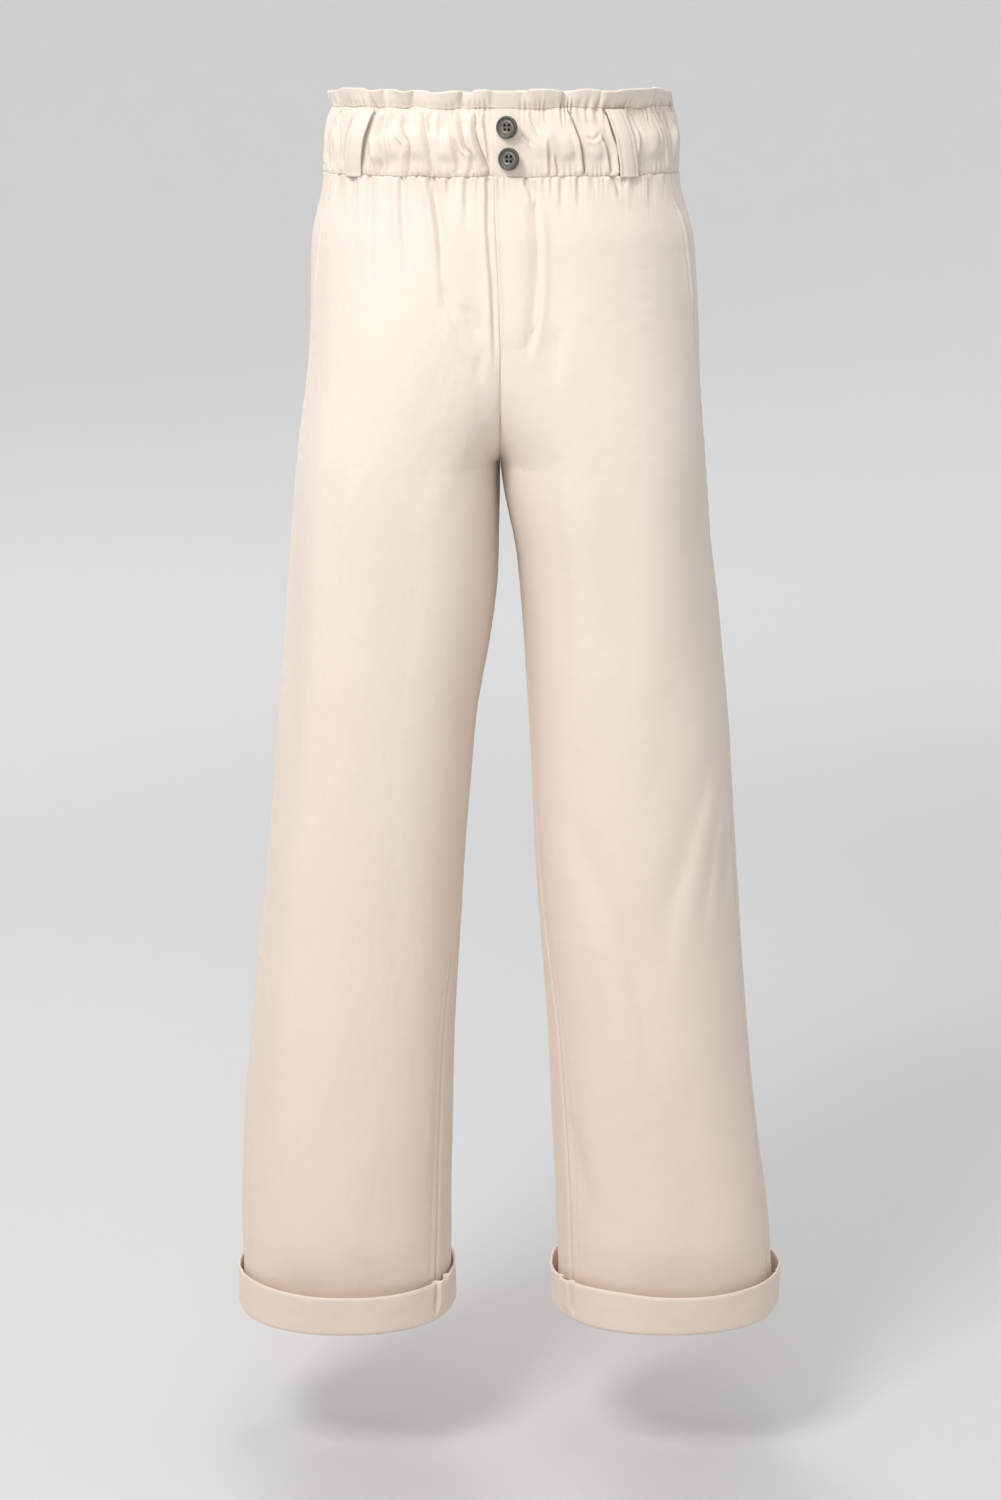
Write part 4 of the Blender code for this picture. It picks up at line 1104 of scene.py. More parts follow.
def along_row(row, outwards, distances, inset):
    """Points at distances along a row from its first point, moved in from its outer face."""
    run = run_along(row)
    at = np.stack([np.interp(distances, run, row[:, k]) for k in range(3)], axis=-1)
    facing = np.stack([np.interp(distances, run, outwards[:, k]) for k in range(3)], axis=-1)
    return at - inset * facing, facing


# ----------------------------------------------------------------------------
# Band and frill.
# ----------------------------------------------------------------------------

BAND_FOLD_GAIN = 1.75
FOLD_AT_EDGE = 0.35
TOP_WANDER = 0.0013
LOW_WANDER = 0.0008
LEANING_DEPTH = 0.0022
LEAN_SHARE = 0.45
SHIRR_PITCH = 0.0056
CORNER_REACH = 0.045
BAND_PUFF = 0.0016
BAND_CRUMPLE = 0.0002
BAND_CORNER_CALM = 0.45
BAND_RIGHT_IN = 0.0034
FRILL_CORNER_CALM = 0.8
FRILL_CRUMPLE = 0.0006
FRILL_GATHER = 0.0014
FRILL_LEFT_IN = 0.0056
FRILL_RIGHT_IN = 0.0028
FRILL_RIGHT_LEAN = 0.0026

# Rows of stitching and gathers, by share of the height up from or down to the stitched edge.
BAND_LOW_GATHER = Swell(0.0, 0.0010, 0.16)
BAND_TOP_GATHER = Swell(0.0, 0.0013, 0.20)
BAND_LOW_STITCHED = Swell(0.0, 0.0010, 0.05)
BAND_TOP_STITCHED = Swell(0.0, 0.0018, 0.08)
FRILL_STITCHED = Swell(0.0, 0.0018, 0.30)

# The frill's edge: how far it stands above the front's heights, and how it runs where it isn't seen.
EDGE_RAISE = 0.0010
HIDDEN_EDGE = -0.0020
HIDDEN_EDGE_DROP = -0.0032


def ring_turns():
    edge_turn = asin(FLY_EDGE_TOP / WIDTHS[RIGHT][1](0.0))
    lap_turn = asin((FLY_EDGE_TOP + UNDERLAP) / WIDTHS[LEFT][1](0.0))
    return np.linspace(edge_turn, 2 * pi + lap_turn, RING_COLUMNS), 2 * pi + edge_turn


def ring_tuck(turns, to_edge, wall):
    """How far in the far end of a ring lies, to pass under its near end."""
    tuck_turn = TUCK_RUN / (FRONT_DEPTH(0.0) * WIDTH_TO_DEPTH)
    return smoothstep((turns - (to_edge - tuck_turn)) / (tuck_turn * TUCK_SHARE)) * (wall + SEAM_GAP)


def wrapped(turns):
    return (turns + pi) % (2 * pi) - pi


def shirring(run, seed):
    """Uneven small gathers where the elastic's stitching pulls the cloth in."""
    wave = puckers(run, SHIRR_PITCH, 1.5, 0.012, seed)
    return wave * (0.15 + 1.5 * np.abs(soft_noise(run, 0 * run, 0.011, seed + 1)))


def seam_wander(x, y, amount):
    """How far a stitched line strays from level, the same for both pieces that meet there."""
    return amount * soft_noise(x, y, 0.011, 61)


def band_share(height):
    return np.clip((height - BAND_BOTTOM) / (BAND_TOP - BAND_BOTTOM), 0.0, 1.0)


def side_share(run, side):
    """1 where the waist ring turns the corner at one side, and 0 away from it."""
    return bell(run - side * SIDE_RUN, CORNER_REACH)


def held(calm):
    """How strongly stitching pulls the cloth in: less on the flat button stand."""
    return FOLD_AT_EDGE + (1 - FOLD_AT_EDGE) * calm


def band_lift(run, height):
    """How far the band's folds, gathers and rows of stitching move its cloth out."""
    up = band_share(height)
    calm = stand_calm(run)
    belly = np.sin(pi * up) ** 0.6
    folds = BAND_FOLD_GAIN * creases_lift(RING_CREASES, run, height) * held(belly)
    puff = BAND_PUFF * soft_noise(run, height * 0.6, 0.015, 31) * belly
    puff = puff + BAND_CRUMPLE * soft_noise(run, height, 0.0045, 32)
    gather = shirring(run, 33) * swell(up, BAND_LOW_GATHER)
    gather = gather + shirring(run, 43) * swell(1 - up, BAND_TOP_GATHER)
    stitched = swell(up, BAND_LOW_STITCHED) + swell(1 - up, BAND_TOP_STITCHED)
    steady = 1 - BAND_CORNER_CALM * (side_share(run, LEFT) + side_share(run, RIGHT))
    drawn_in = BAND_RIGHT_IN * side_share(run, RIGHT) * smoothstep(up / 0.3)
    return (folds + puff) * calm * steady + gather * calm - stitched * held(calm) - drawn_in


def band_shift(run, height):
    """The cloth beside the deepest creases leans over them."""
    shift = np.zeros(run.shape)
    for crease in RING_CREASES:
        if crease.depth < LEANING_DEPTH:
            continue
        lift = crease_lift(crease._replace(lip=0.0), run, height)
        shift += np.sign(crease.lip) * LEAN_SHARE * lift
    return BAND_FOLD_GAIN * shift * stand_calm(run)


def band_rise(run, height, x, y):
    """How far the band's two stitched lines stray from level."""
    up = band_share(height)
    rise = seam_wander(x, y, TOP_WANDER) * up**3 + seam_wander(x, y, LOW_WANDER) * (1 - up) ** 3
    return rise * stand_calm(run)


def ring_sheet(heights, wall, lift_at, shift_at=None, rise_at=None):
    """A strip round the waist as a grid: lift moves it out, shift along and rise up."""
    turns, to_edge = ring_turns()
    run = np.interp(wrapped(turns), WAIST_TURNS, WAIST_RUNS)
    tuck = ring_tuck(turns, to_edge, wall)
    grid = []
    for height in heights:
        moved = turns
        if shift_at is not None:
            moved = np.interp(run + shift_at(run, np.full(run.shape, height)), WAIST_RUNS, WAIST_TURNS)
            moved = turns + (moved - wrapped(turns))
        out = lift_at(run, np.full(run.shape, height)) - tuck
        row = waist_points(wrapped(moved), height, out)
        if rise_at is not None:
            row[:, 2] += rise_at(run, height, row[:, 0], row[:, 1])
        grid.append(row)
    grid = np.array(grid)
    outwards = grid * np.array([1.0, 1.0, 0.0])
    outwards /= np.linalg.norm(outwards, axis=-1, keepdims=True)
    stations = np.broadcast_to((turns - turns[0]) / (2 * pi) * WAIST_ROUND, grid.shape[:2])
    return Sheet(grid, outwards, stations, np.asarray(heights))


def frill_growth(height):
    return np.clip((height - BAND_TOP) / (FRILL_TOP - BAND_TOP), 0.0, 1.0)


def round_facets(run):
    """Distances round the waist, counted on from the first facet."""
    return (run - RING_FACETS[0, 0]) % WAIST_ROUND + RING_FACETS[0, 0]


def frill_lift(run, height):
    """How far the frill's facets, gathers and stitching move its cloth out."""
    grow = frill_growth(height)
    calm = stand_calm(run)
    around = round_facets(run)
    facets = sum(np.interp(around + step, RING_FACETS[:, 0], RING_FACETS[:, 1]) for step in FACET_SPREAD)
    left, right = side_share(run, LEFT), side_share(run, RIGHT)
    steady = 1 - FRILL_CORNER_CALM * (left + right)
    spread = FACET_FOOT + (1 - FACET_FOOT) * grow
    lift = FACET_GAIN * facets / len(FACET_SPREAD) * spread * calm * steady
    lift += FRILL_CRUMPLE * soft_noise(run, height, 0.011, 41) * (0.3 + 0.7 * grow) * calm
    lift += FRILL_GATHER * shirring(run, 43) * bell(grow, 0.45) * calm
    drawn_in = left * FRILL_LEFT_IN * grow + right * (FRILL_RIGHT_IN + FRILL_RIGHT_LEAN * grow)
    return lift - swell(grow, FRILL_STITCHED) * held(calm) - drawn_in


def frill_shift(run, height):
    """The cloth laps over itself at the steepest facets, more towards the frill's edge."""
    around = round_facets(run)
    shift = np.zeros(run.shape)
    for place, way in RING_LAPS:
        shift += way * LAP * bell(around - place, LAP_HALF_WIDTH)
    return shift * (0.15 + 0.85 * frill_growth(height)) * stand_calm(run)


FRONT_EDGE_X = np.array([edge.x for edge in FRILL_EDGE])
FRONT_EDGE_RUNS = np.array([float(run_at(x)) for x in FRONT_EDGE_X])
FRONT_EDGE_CURVE = smooth_through(FRONT_EDGE_RUNS, np.array([edge.height for edge in FRILL_EDGE]))


def frill_rise(run, height, x, y):
    """How far above or below the level rows the frill's edge lies, and how its stitching strays."""
    in_front = (run > FRONT_EDGE_RUNS[0]) & (run < FRONT_EDGE_RUNS[-1])
    shown = FRONT_EDGE_CURVE(np.clip(run, FRONT_EDGE_RUNS[0], FRONT_EDGE_RUNS[-1])) - FRILL_TOP + EDGE_RAISE
    hidden = HIDDEN_EDGE + HIDDEN_EDGE_DROP * smoothstep((np.abs(run) - 0.175) / 0.09)
    hidden = hidden + 0.0011 * np.sin(run * 190.0 + np.sin(run * 61.0))
    level = np.where(in_front, shown, hidden)
    grow = frill_growth(height)
    return level * grow + seam_wander(x, y, TOP_WANDER) * (1 - grow) ** 2 * stand_calm(run)


# ----------------------------------------------------------------------------
# Turn-ups.
# ----------------------------------------------------------------------------

CUFF_STAND_OFF = 0.0096
CUFF_FOLD_RADIUS = 0.0046
CUFF_BEND_STEPS = 10
SIDE_SPREAD = 0.55
CUFF_LEAN = 0.0022
CUFF_CORNER = 0.0045
CUFF_SIDE_STEPS = 12
CUFF_INSIDE_STEPS = 4
CUFF_TOP_DIP = 0.0012
CUFF_CRUMPLE = 0.00025
CUFF_WOBBLE = 0.0012

# Doubled seam allowances under the turn-up, and the grooves beside them, by turn from the seam.
INSEAM_HUMP = 0.0020
INSEAM_HUMP_EDGE = 0.088
SIDE_HUMP = 0.0006
SIDE_HUMP_EDGE = 0.045
INSEAM_GROOVE = (Swell(0.104, -0.0034, 0.018), Swell(-0.104, -0.0034, 0.018))
SIDE_GROOVE = Swell(-0.06, -0.0008, 0.008)


def cuff_path():
    """(out, height, share up the outside) of the turn-up's cloth: down inside, round the fold, up again."""
    bend_centre = CUFF_BOTTOM + CUFF_FOLD_RADIUS
    middle = -PANEL_WALL + CUFF_FOLD_RADIUS
    points = []
    for step in range(CUFF_INSIDE_STEPS):
        down = (PANEL_BOTTOM - bend_centre) * step / CUFF_INSIDE_STEPS
        points.append((-PANEL_WALL, PANEL_BOTTOM - HALF_GAP - down, 0.0))
    for step in range(CUFF_BEND_STEPS + 1):
        turn = pi + pi * step / CUFF_BEND_STEPS
        out = middle + CUFF_FOLD_RADIUS * cos(turn)
        points.append((out, bend_centre + CUFF_FOLD_RADIUS * sin(turn), 0.0))
    start_out = middle + CUFF_FOLD_RADIUS
    for step in range(1, CUFF_SIDE_STEPS + 1):
        share = step / CUFF_SIDE_STEPS
        out = start_out + (CUFF_STAND_OFF - start_out) * share
        points.append((out, bend_centre + (CUFF_TOP - bend_centre) * share, share))
    return points


def turn_from(turns, place):
    """Turns round a leg, counted from a place and kept within half a turn of it."""
    return (turns - place + pi) % (2 * pi) - pi


def build_cuff(side, material):
    """The turn-up: the leg's own end folded out and up, one closed ring of cloth with a rolled top edge."""
    turns = np.linspace(0.0, 2 * pi, CUFF_COLUMNS, endpoint=False)
    seed = 51 if side == LEFT else 52
    bottom = CUFF_BOTTOM + CUFF_FOLD_RADIUS
    round_run = turns * 0.09
    inseam = pi - radians(INSEAM_TURN(CUFF_BOTTOM))
    from_inseam = turn_from(turns, inseam)
    from_side = turn_from(turns, SIDE_SEAM_TURN)
    wave = np.sin(2 * turns + side) * 0.0012 + np.sin(5 * turns + 2.0) * 0.0006
    wave = wave + CUFF_WOBBLE * soft_noise(round_run, 0 * turns, 0.030, seed)
    spread = SIDE_SPREAD + (1 - SIDE_SPREAD) * np.abs(np.sin(turns)) ** 1.5
    hump = INSEAM_HUMP * smoothstep((INSEAM_HUMP_EDGE - np.abs(from_inseam)) / 0.014)
    hump = hump + SIDE_HUMP * smoothstep((SIDE_HUMP_EDGE - np.abs(from_side)) / 0.012)
    groove = sum(swell(from_inseam, shape) for shape in INSEAM_GROOVE) + swell(from_side, SIDE_GROOVE)
    outer = []
    for out, height, share in cuff_path():
        lean = CUFF_LEAN * share * np.maximum(np.sin(turns), 0.0) ** 2
        lift = -PANEL_WALL + (out + PANEL_WALL) * spread + lean + share * wave
        lift = lift + (hump + groove) * smoothstep(share * 4)
        crumple = CUFF_CRUMPLE * soft_noise(round_run, 0 * turns + height, 0.007, seed + 2)
        lift = lift + crumple * smoothstep(share * 3)
        top_dip = CUFF_TOP_DIP * np.sin(3 * turns + side) * share
        corner = CUFF_CORNER * np.abs(np.cos(turns)) ** 8 * (1 - share) * (out > 0 or height < bottom)
        ring = oval_points(side, height, turns, lift)
        outer.append(np.column_stack([ring, np.full(CUFF_COLUMNS, height) + top_dip + corner]))
    outer = np.array(outer)
    closed = np.concatenate([outer, outer[:, :1]], axis=1)
    padded = np.concatenate([outer[:, -1:], closed], axis=1)
    normals = grid_normals(padded)[:, 1:-1]
    away = oval_points(side, bottom, turns) - np.array([side * leg_oval(side, bottom)[0], 0.0])
    if np.sum(normals[-1, :, :2] * away) < 0:
        normals = -normals
    inner = (outer - CUFF_WALL * normals)[::-1]
    top_roll = (outer[-1] + inner[0]) / 2 + np.array([0.0, 0.0, CUFF_WALL * 0.4])
    low_roll = (outer[0] + inner[-1]) / 2 + np.array([0.0, 0.0, CUFF_WALL * 0.2])
    rings = np.concatenate([outer, top_roll[None], inner, low_roll[None]])
    count = len(rings)
    faces = grid_faces(count + 1, CUFF_COLUMNS, wrapped=True) % (count * CUFF_COLUMNS)
    across = np.broadcast_to(round_run, (count, CUFF_COLUMNS))
    down = np.cumsum(np.concatenate([[0.0], np.linalg.norm(np.diff(rings[:, 0], axis=0), axis=1)]))
    coordinates = np.stack([across, np.broadcast_to(down[:, None], across.shape)], axis=-1).reshape(-1, 2)
    made = mesh_object(f"turn_up_{side_name(side)}", rings.reshape(-1, 3), faces, material, coordinates)
    face_outwards(made)
    return made


# ----------------------------------------------------------------------------
# Belt loops.
# ----------------------------------------------------------------------------

LOOP_COLUMNS = 15
LOOP_ROWS = 44
LOOP_FOOT = -0.0290
LOOP_CROWN = 0.0007
LOOP_STITCHED = Swell(0.70, -0.0009, 0.12)


def build_loop(loop, material):
    """A strap folded in three and stitched, standing off the band, with its middle a little proud."""
    top, bottom = LOOP_PROFILE[0].height, LOOP_PROFILE[-1].height
    rows = []
    for height in np.linspace(top, LOOP_FOOT, LOOP_ROWS):
        down = (top - height) / (top - bottom)
        middle = radians(loop.top_turn + (loop.low_turn - loop.top_turn) * down)
        across = np.linspace(-1.0, 1.0, LOOP_COLUMNS)
        runs = np.interp(middle, WAIST_TURNS, WAIST_RUNS) + across * LOOP_WIDTH / 2
        turns = np.interp(runs, WAIST_RUNS, WAIST_TURNS)
        crown = LOOP_CROWN * (1 - across**2) + swell(np.abs(across), LOOP_STITCHED)
        out = LOOP_GAP(height) * loop.clearance + LOOP_WALL + crown
        rows.append(waist_points(turns, height, out))
    grid = np.array(rows)
    outwards = grid * np.array([1.0, 1.0, 0.0])
    stations = np.broadcast_to(np.linspace(0.0, LOOP_WIDTH, LOOP_COLUMNS), grid.shape[:2])
    down = np.broadcast_to(grid[:, :1, 2], grid.shape[:2])
    name = f"loop_{loop.name.removeprefix('belt_loop_')}"
    return shell(name, grid, outwards, LOOP_WALL, np.stack([stations, down], axis=-1), material)


# ----------------------------------------------------------------------------
# Thread.
# ----------------------------------------------------------------------------

STITCH_LENGTH = 0.0027
STITCH_PITCH = 0.0036
STITCH_RADIUS = 0.00028
STITCH_SIDES = 6
STITCH_FLATNESS = 0.8
StitchRing = namedtuple("StitchRing", "place share")
STITCH_RINGS = (
    StitchRing(-0.50, 0.25),
    StitchRing(-0.38, 0.85),
    StitchRing(0.0, 1.0),
    StitchRing(0.38, 0.85),
    StitchRing(0.50, 0.25),
)


def at_run(distance, run, points):
    """The point that lies a distance along a line."""
    return np.array([np.interp(distance, run, points[:, k]) for k in range(3)])


def stitch_mesh(lines):
    """Vertices and faces of stitches laid along lines, each line given as (points, outward normals)."""
    turn = np.linspace(0.0, 2 * pi, STITCH_SIDES, endpoint=False)[:, None]
    vertices = []
    for points, normals in lines:
        run = run_along(points)
        for middle in np.arange(STITCH_PITCH / 2, run[-1] - STITCH_LENGTH / 2, STITCH_PITCH):
            start = at_run(middle - STITCH_LENGTH / 2, run, points)
            along = at_run(middle + STITCH_LENGTH / 2, run, points) - start
            along /= max(np.linalg.norm(along), 1e-9)
            up = at_run(middle, run, normals)
            up -= along * (up @ along)
            up /= max(np.linalg.norm(up), 1e-9)
            section = np.cos(turn) * np.cross(along, up) + STITCH_FLATNESS * np.sin(turn) * up
            centre = at_run(middle, run, points)
            for place, share in STITCH_RINGS:
                sink = up * STITCH_RADIUS * (0.35 - 1.2 * (1 - share))
                ring = centre + along * place * STITCH_LENGTH + sink
                vertices.append(ring + STITCH_RADIUS * share * section)
    one = grid_faces(len(STITCH_RINGS), STITCH_SIDES, wrapped=True)
    per_stitch = len(STITCH_RINGS) * STITCH_SIDES
    faces = [one + k * per_stitch for k in range(len(vertices) // len(STITCH_RINGS))]
    return np.concatenate(vertices), np.concatenate(faces)


def build_stitches(name, lines, material):
    vertices, faces = stitch_mesh(lines)
    made = mesh_object(name, vertices, faces, material)
    face_outwards(made)
    return made


def line_at_row(sheet, row):
    return sheet.grid[row], sheet.outwards[row]


def line_down(sheet, distance_from, from_inner, top, bottom):
    """A line down a sheet at a distance from its side seam or its inner edge."""
    points = []
    normals = []
    for r, height in enumerate(sheet.heights):
        if not bottom <= height <= top:
            continue
        distance = distance_from(height) if callable(distance_from) else distance_from
        stations = sheet.stations[r]
        at = stations[-1] - distance if from_inner else distance
        points.append([np.interp(at, stations, sheet.grid[r, :, k]) for k in range(3)])
        normals.append([np.interp(at, stations, sheet.outwards[r, :, k]) for k in range(3)])
    return np.array(points), np.array(normals)


# ----------------------------------------------------------------------------
# Buttons.
# ----------------------------------------------------------------------------

Button = namedtuple("Button", "name x height")
BUTTONS = (Button("button_upper", 0.0055, 0.0106), Button("button_lower", 0.0071, -0.0138))
BUTTON_RADIUS = 0.0089
BUTTON_THICKNESS = 0.0030
BUTTON_BACK_SHARE = 0.9
BUTTON_SHANK = 0.0006
BUTTON_HOLE_RADIUS = 0.00120
BUTTON_HOLE_SPACING = 0.0035
BUTTON_YAW = radians(-24)
# The disc of painted shade that closes the holes inside a button.
HOLE_SHADE_RADIUS = 0.0036
HOLE_SHADE_HEIGHT = 0.0003
BUTTON_SIDES = 96
BUTTON_PROFILE = (
    (0.00, 0.55),
    (0.36, 0.56),
    (0.44, 0.62),
    (0.48, 0.72),
    (0.52, 0.76),
    (0.56, 0.72),
    (0.60, 0.66),
    (0.74, 0.66),
    (0.78, 0.74),
    (0.81, 0.90),
    (0.85, 0.985),
    (0.90, 1.00),
    (0.95, 0.96),
    (0.985, 0.84),
    (1.00, 0.68),
    (1.00, 0.32),
    (0.97, 0.14),
    (0.90, 0.00),
    (0.00, 0.00),
)


def paint_hole_shade(mesh, inside):
    """Closes the foot of the holes with a near-black disc of painted shade inside the button, so that the
    holes look dark.
    """
    mesh.materials.append(inside)
    shape = bmesh.new()
    shape.from_mesh(mesh)
    before = set(shape.faces)
    place = Matrix.Translation((0.0, 0.0, HOLE_SHADE_HEIGHT))
    bmesh.ops.create_circle(shape, cap_ends=True, segments=24, radius=HOLE_SHADE_RADIUS, matrix=place)
    for face in set(shape.faces) - before:
        face.material_index = len(mesh.materials) - 1
    shape.to_mesh(mesh)
    shape.free()


def build_button(button, material, inside):
    """A turned button with a rim, a ring round its dished middle and four holes."""
    vertices = [(r * BUTTON_RADIUS, 0.0, h * BUTTON_THICKNESS) for r, h in BUTTON_PROFILE]
    mesh = bpy.data.meshes.new(f"metal_{button.name}")
    mesh.from_pydata(vertices, [(i, i + 1) for i in range(len(vertices) - 1)], [])
    mesh.materials.append(material)
    made = bpy.data.objects.new(mesh.name, mesh)
    bpy.context.scene.collection.objects.link(made)
    turned = made.modifiers.new("turned", "SCREW")
    turned.steps = turned.render_steps = BUTTON_SIDES
    turned.use_merge_vertices = True
    turned.merge_threshold = 0.00001
    for i, (x, y) in enumerate(((-1, -1), (1, -1), (1, 1), (-1, 1))):
        cut_hole(made, i, x * BUTTON_HOLE_SPACING / 2, y * BUTTON_HOLE_SPACING / 2)
    bpy.context.view_layer.update()
    graph = bpy.context.evaluated_depsgraph_get()
    final = bpy.data.meshes.new_from_object(made.evaluated_get(graph))
    for modifier in list(made.modifiers):
        cutter = getattr(modifier, "object", None)
        made.modifiers.remove(modifier)
        if cutter is not None:
            bpy.data.objects.remove(cutter, do_unlink=True)
    made.data = final
    final.shade_smooth()
    final.set_sharp_from_angle(angle=radians(48))
    # Painted shade at the foot of the holes.
    paint_hole_shade(final, inside)
    lean = BUTTON_RADIUS * BUTTON_BACK_SHARE * sin(abs(BUTTON_YAW))
    made.location = (button.x, -(FRONT_DEPTH(button.height) + BUTTON_SHANK + lean), button.height)
    made.rotation_euler = (radians(90), 0.0, BUTTON_YAW)
    return made


def cut_hole(button, number, x, y):
    shape = bmesh.new()
    bmesh.ops.create_cone(
        shape,
        cap_ends=True,
        segments=24,
        radius1=BUTTON_HOLE_RADIUS,
        radius2=BUTTON_HOLE_RADIUS,
        depth=BUTTON_THICKNESS * 3,
    )
    mesh = bpy.data.meshes.new(f"{button.name}_hole_{number}")
    shape.to_mesh(mesh)
    shape.free()
    cutter = bpy.data.objects.new(mesh.name, mesh)
    bpy.context.scene.collection.objects.link(cutter)
    cutter.parent = button
    cutter.location = (x, y, 0.0)
    cutter.hide_render = True
    hole = button.modifiers.new(f"hole_{number}", "BOOLEAN")
    hole.operation = "DIFFERENCE"
    hole.object = cutter


# ----------------------------------------------------------------------------
# Materials.
# ----------------------------------------------------------------------------

CREAM = (0.797, 0.710, 0.630)
CREAM_WARM = (0.777, 0.680, 0.596)
# Painted shade: the cloth's colour is multiplied by this more the lower it lies, standing in for the light's
# falloff towards the hems.
HEM_PAINTED_SHADE = (0.975, 0.935, 0.900)
PAINTED_SHADE_HEIGHTS = (-0.25, -1.00)
TWILL_PITCH = 0.00095
THREAD = (0.74, 0.655, 0.565)
# Painted shade: the near-black of the disc that closes the buttons' holes.
HOLE_SHADE_COLOUR = (0.012, 0.012, 0.012)
GUNMETAL = (0.085, 0.082, 0.074)
GUNMETAL_WORN = (0.270, 0.262, 0.240)
GUNMETAL_RIM = (0.075, 0.072, 0.064)
RIM_START = 0.0060
RIM_FULL = 0.0070


def new_material(name):
    made = bpy.data.materials.new(name)
    made.use_nodes = True
    return made, made.node_tree.nodes, made.node_tree.links, made.node_tree.nodes["Principled BSDF"]


def add_noise(nodes, links, vector, scale, detail, roughness=0.5):
    noise = nodes.new("ShaderNodeTexNoise")
    noise.inputs["Scale"].default_value = scale
    noise.inputs["Detail"].default_value = detail
    noise.inputs["Roughness"].default_value = roughness
    links.new(vector, noise.inputs["Vector"])
    return noise


def add_bump(nodes, links, height, strength, distance, below=None):
    bump = nodes.new("ShaderNodeBump")
    bump.inputs["Strength"].default_value = strength
    bump.inputs["Distance"].default_value = distance
    links.new(height, bump.inputs["Height"])
    if below is not None:
        links.new(below.outputs["Normal"], bump.inputs["Normal"])
    return bump


def add_mix(nodes, links, share, first, second):
    mix = nodes.new("ShaderNodeMix")
    mix.data_type = "RGBA"
    mix.inputs["A"].default_value = (*first, 1.0)
    mix.inputs["B"].default_value = (*second, 1.0)
    links.new(share, mix.inputs["Factor"])
    return mix


def cloth_material(name, twill_strength):
    """Cream cotton twill: diagonal ribs, uneven yarn, faint crumple and a soft nap."""
    made, nodes, links, shader = new_material(name)
    cloth = nodes.new("ShaderNodeUVMap")
    cloth.uv_map = "cloth"
    place = nodes.new("ShaderNodeTexCoord")
    wave = nodes.new("ShaderNodeTexWave")
    wave.wave_type = "BANDS"
    wave.bands_direction = "DIAGONAL"
    wave.inputs["Scale"].default_value = 2 * pi / (10 * TWILL_PITCH * sqrt(2))
    wave.inputs["Distortion"].default_value = 0.7
    wave.inputs["Detail"].default_value = 1.0
    wave.inputs["Detail Scale"].default_value = 1.6
    links.new(cloth.outputs["UV"], wave.inputs["Vector"])
    crumple = add_noise(nodes, links, place.outputs["Object"], 95.0, 3.0)
    drawn_out = nodes.new("ShaderNodeMapping")
    drawn_out.inputs["Scale"].default_value = (1.0, 1.0, 0.06)
    links.new(place.outputs["Object"], drawn_out.inputs["Vector"])
    slubs = add_noise(nodes, links, drawn_out.outputs["Vector"], 560.0, 2.0)
    yarn = add_noise(nodes, links, place.outputs["Object"], 1400.0, 2.0)
    crumple_bump = add_bump(nodes, links, crumple.outputs["Fac"], 0.22, 0.0012)
    slub_bump = add_bump(nodes, links, slubs.outputs["Fac"], 0.20, 0.0004, crumple_bump)
    yarn_bump = add_bump(nodes, links, yarn.outputs["Fac"], 0.25, 0.0002, slub_bump)
    weave_bump = add_bump(nodes, links, wave.outputs["Fac"], twill_strength, 0.00022, yarn_bump)
    links.new(weave_bump.outputs["Normal"], shader.inputs["Normal"])
    tone = add_noise(nodes, links, place.outputs["Object"], 7.0, 3.0)
    fleck = add_noise(nodes, links, place.outputs["Object"], 420.0, 2.0)
    blend = nodes.new("ShaderNodeMath")
    blend.operation = "MULTIPLY_ADD"
    links.new(fleck.outputs["Fac"], blend.inputs[0])
    blend.inputs[1].default_value = 0.45
    links.new(tone.outputs["Fac"], blend.inputs[2])
    colour = add_mix(nodes, links, blend.outputs["Value"], CREAM, CREAM_WARM)
    # Painted shade: from z -0.25 down to the hems the colour is made darker and warmer, standing in for the
    # light's falloff.
    parts = nodes.new("ShaderNodeSeparateXYZ")
    links.new(place.outputs["Object"], parts.inputs["Vector"])
    low = nodes.new("ShaderNodeMapRange")
    low.inputs["From Min"].default_value, low.inputs["From Max"].default_value = PAINTED_SHADE_HEIGHTS
    links.new(parts.outputs["Z"], low.inputs["Value"])
    painted_shade = nodes.new("ShaderNodeMix")
    painted_shade.data_type = "RGBA"
    painted_shade.blend_type = "MULTIPLY"
    painted_shade.inputs["B"].default_value = (*HEM_PAINTED_SHADE, 1.0)
    links.new(low.outputs["Result"], painted_shade.inputs["Factor"])
    links.new(colour.outputs["Result"], painted_shade.inputs["A"])
    links.new(painted_shade.outputs["Result"], shader.inputs["Base Color"])
    shader.inputs["Roughness"].default_value = 0.88
    shader.inputs["Specular IOR Level"].default_value = 0.22
    shader.inputs["Sheen Weight"].default_value = 0.16
    shader.inputs["Sheen Roughness"].default_value = 0.48
    made.diffuse_color = (*CREAM, 1.0)
    return made


def thread_material():
    made, nodes, links, shader = new_material("cotton_thread")
    place = nodes.new("ShaderNodeTexCoord")
    twist = add_noise(nodes, links, place.outputs["Object"], 2600.0, 1.0)
    bump = add_bump(nodes, links, twist.outputs["Fac"], 0.4, 0.0002)
    links.new(bump.outputs["Normal"], shader.inputs["Normal"])
    colour = add_mix(nodes, links, twist.outputs["Fac"], CREAM, THREAD)
    links.new(colour.outputs["Result"], shader.inputs["Base Color"])
    shader.inputs["Roughness"].default_value = 0.7
    shader.inputs["Specular IOR Level"].default_value = 0.35
    return made


# A near-black material for the painted shade in the buttons' holes.
def hole_shade_material():
    made, *_, shader = new_material("button_painted_hole_shade")
    shader.inputs["Base Color"].default_value = (*HOLE_SHADE_COLOUR, 1.0)
    shader.inputs["Roughness"].default_value = 0.8
    return made


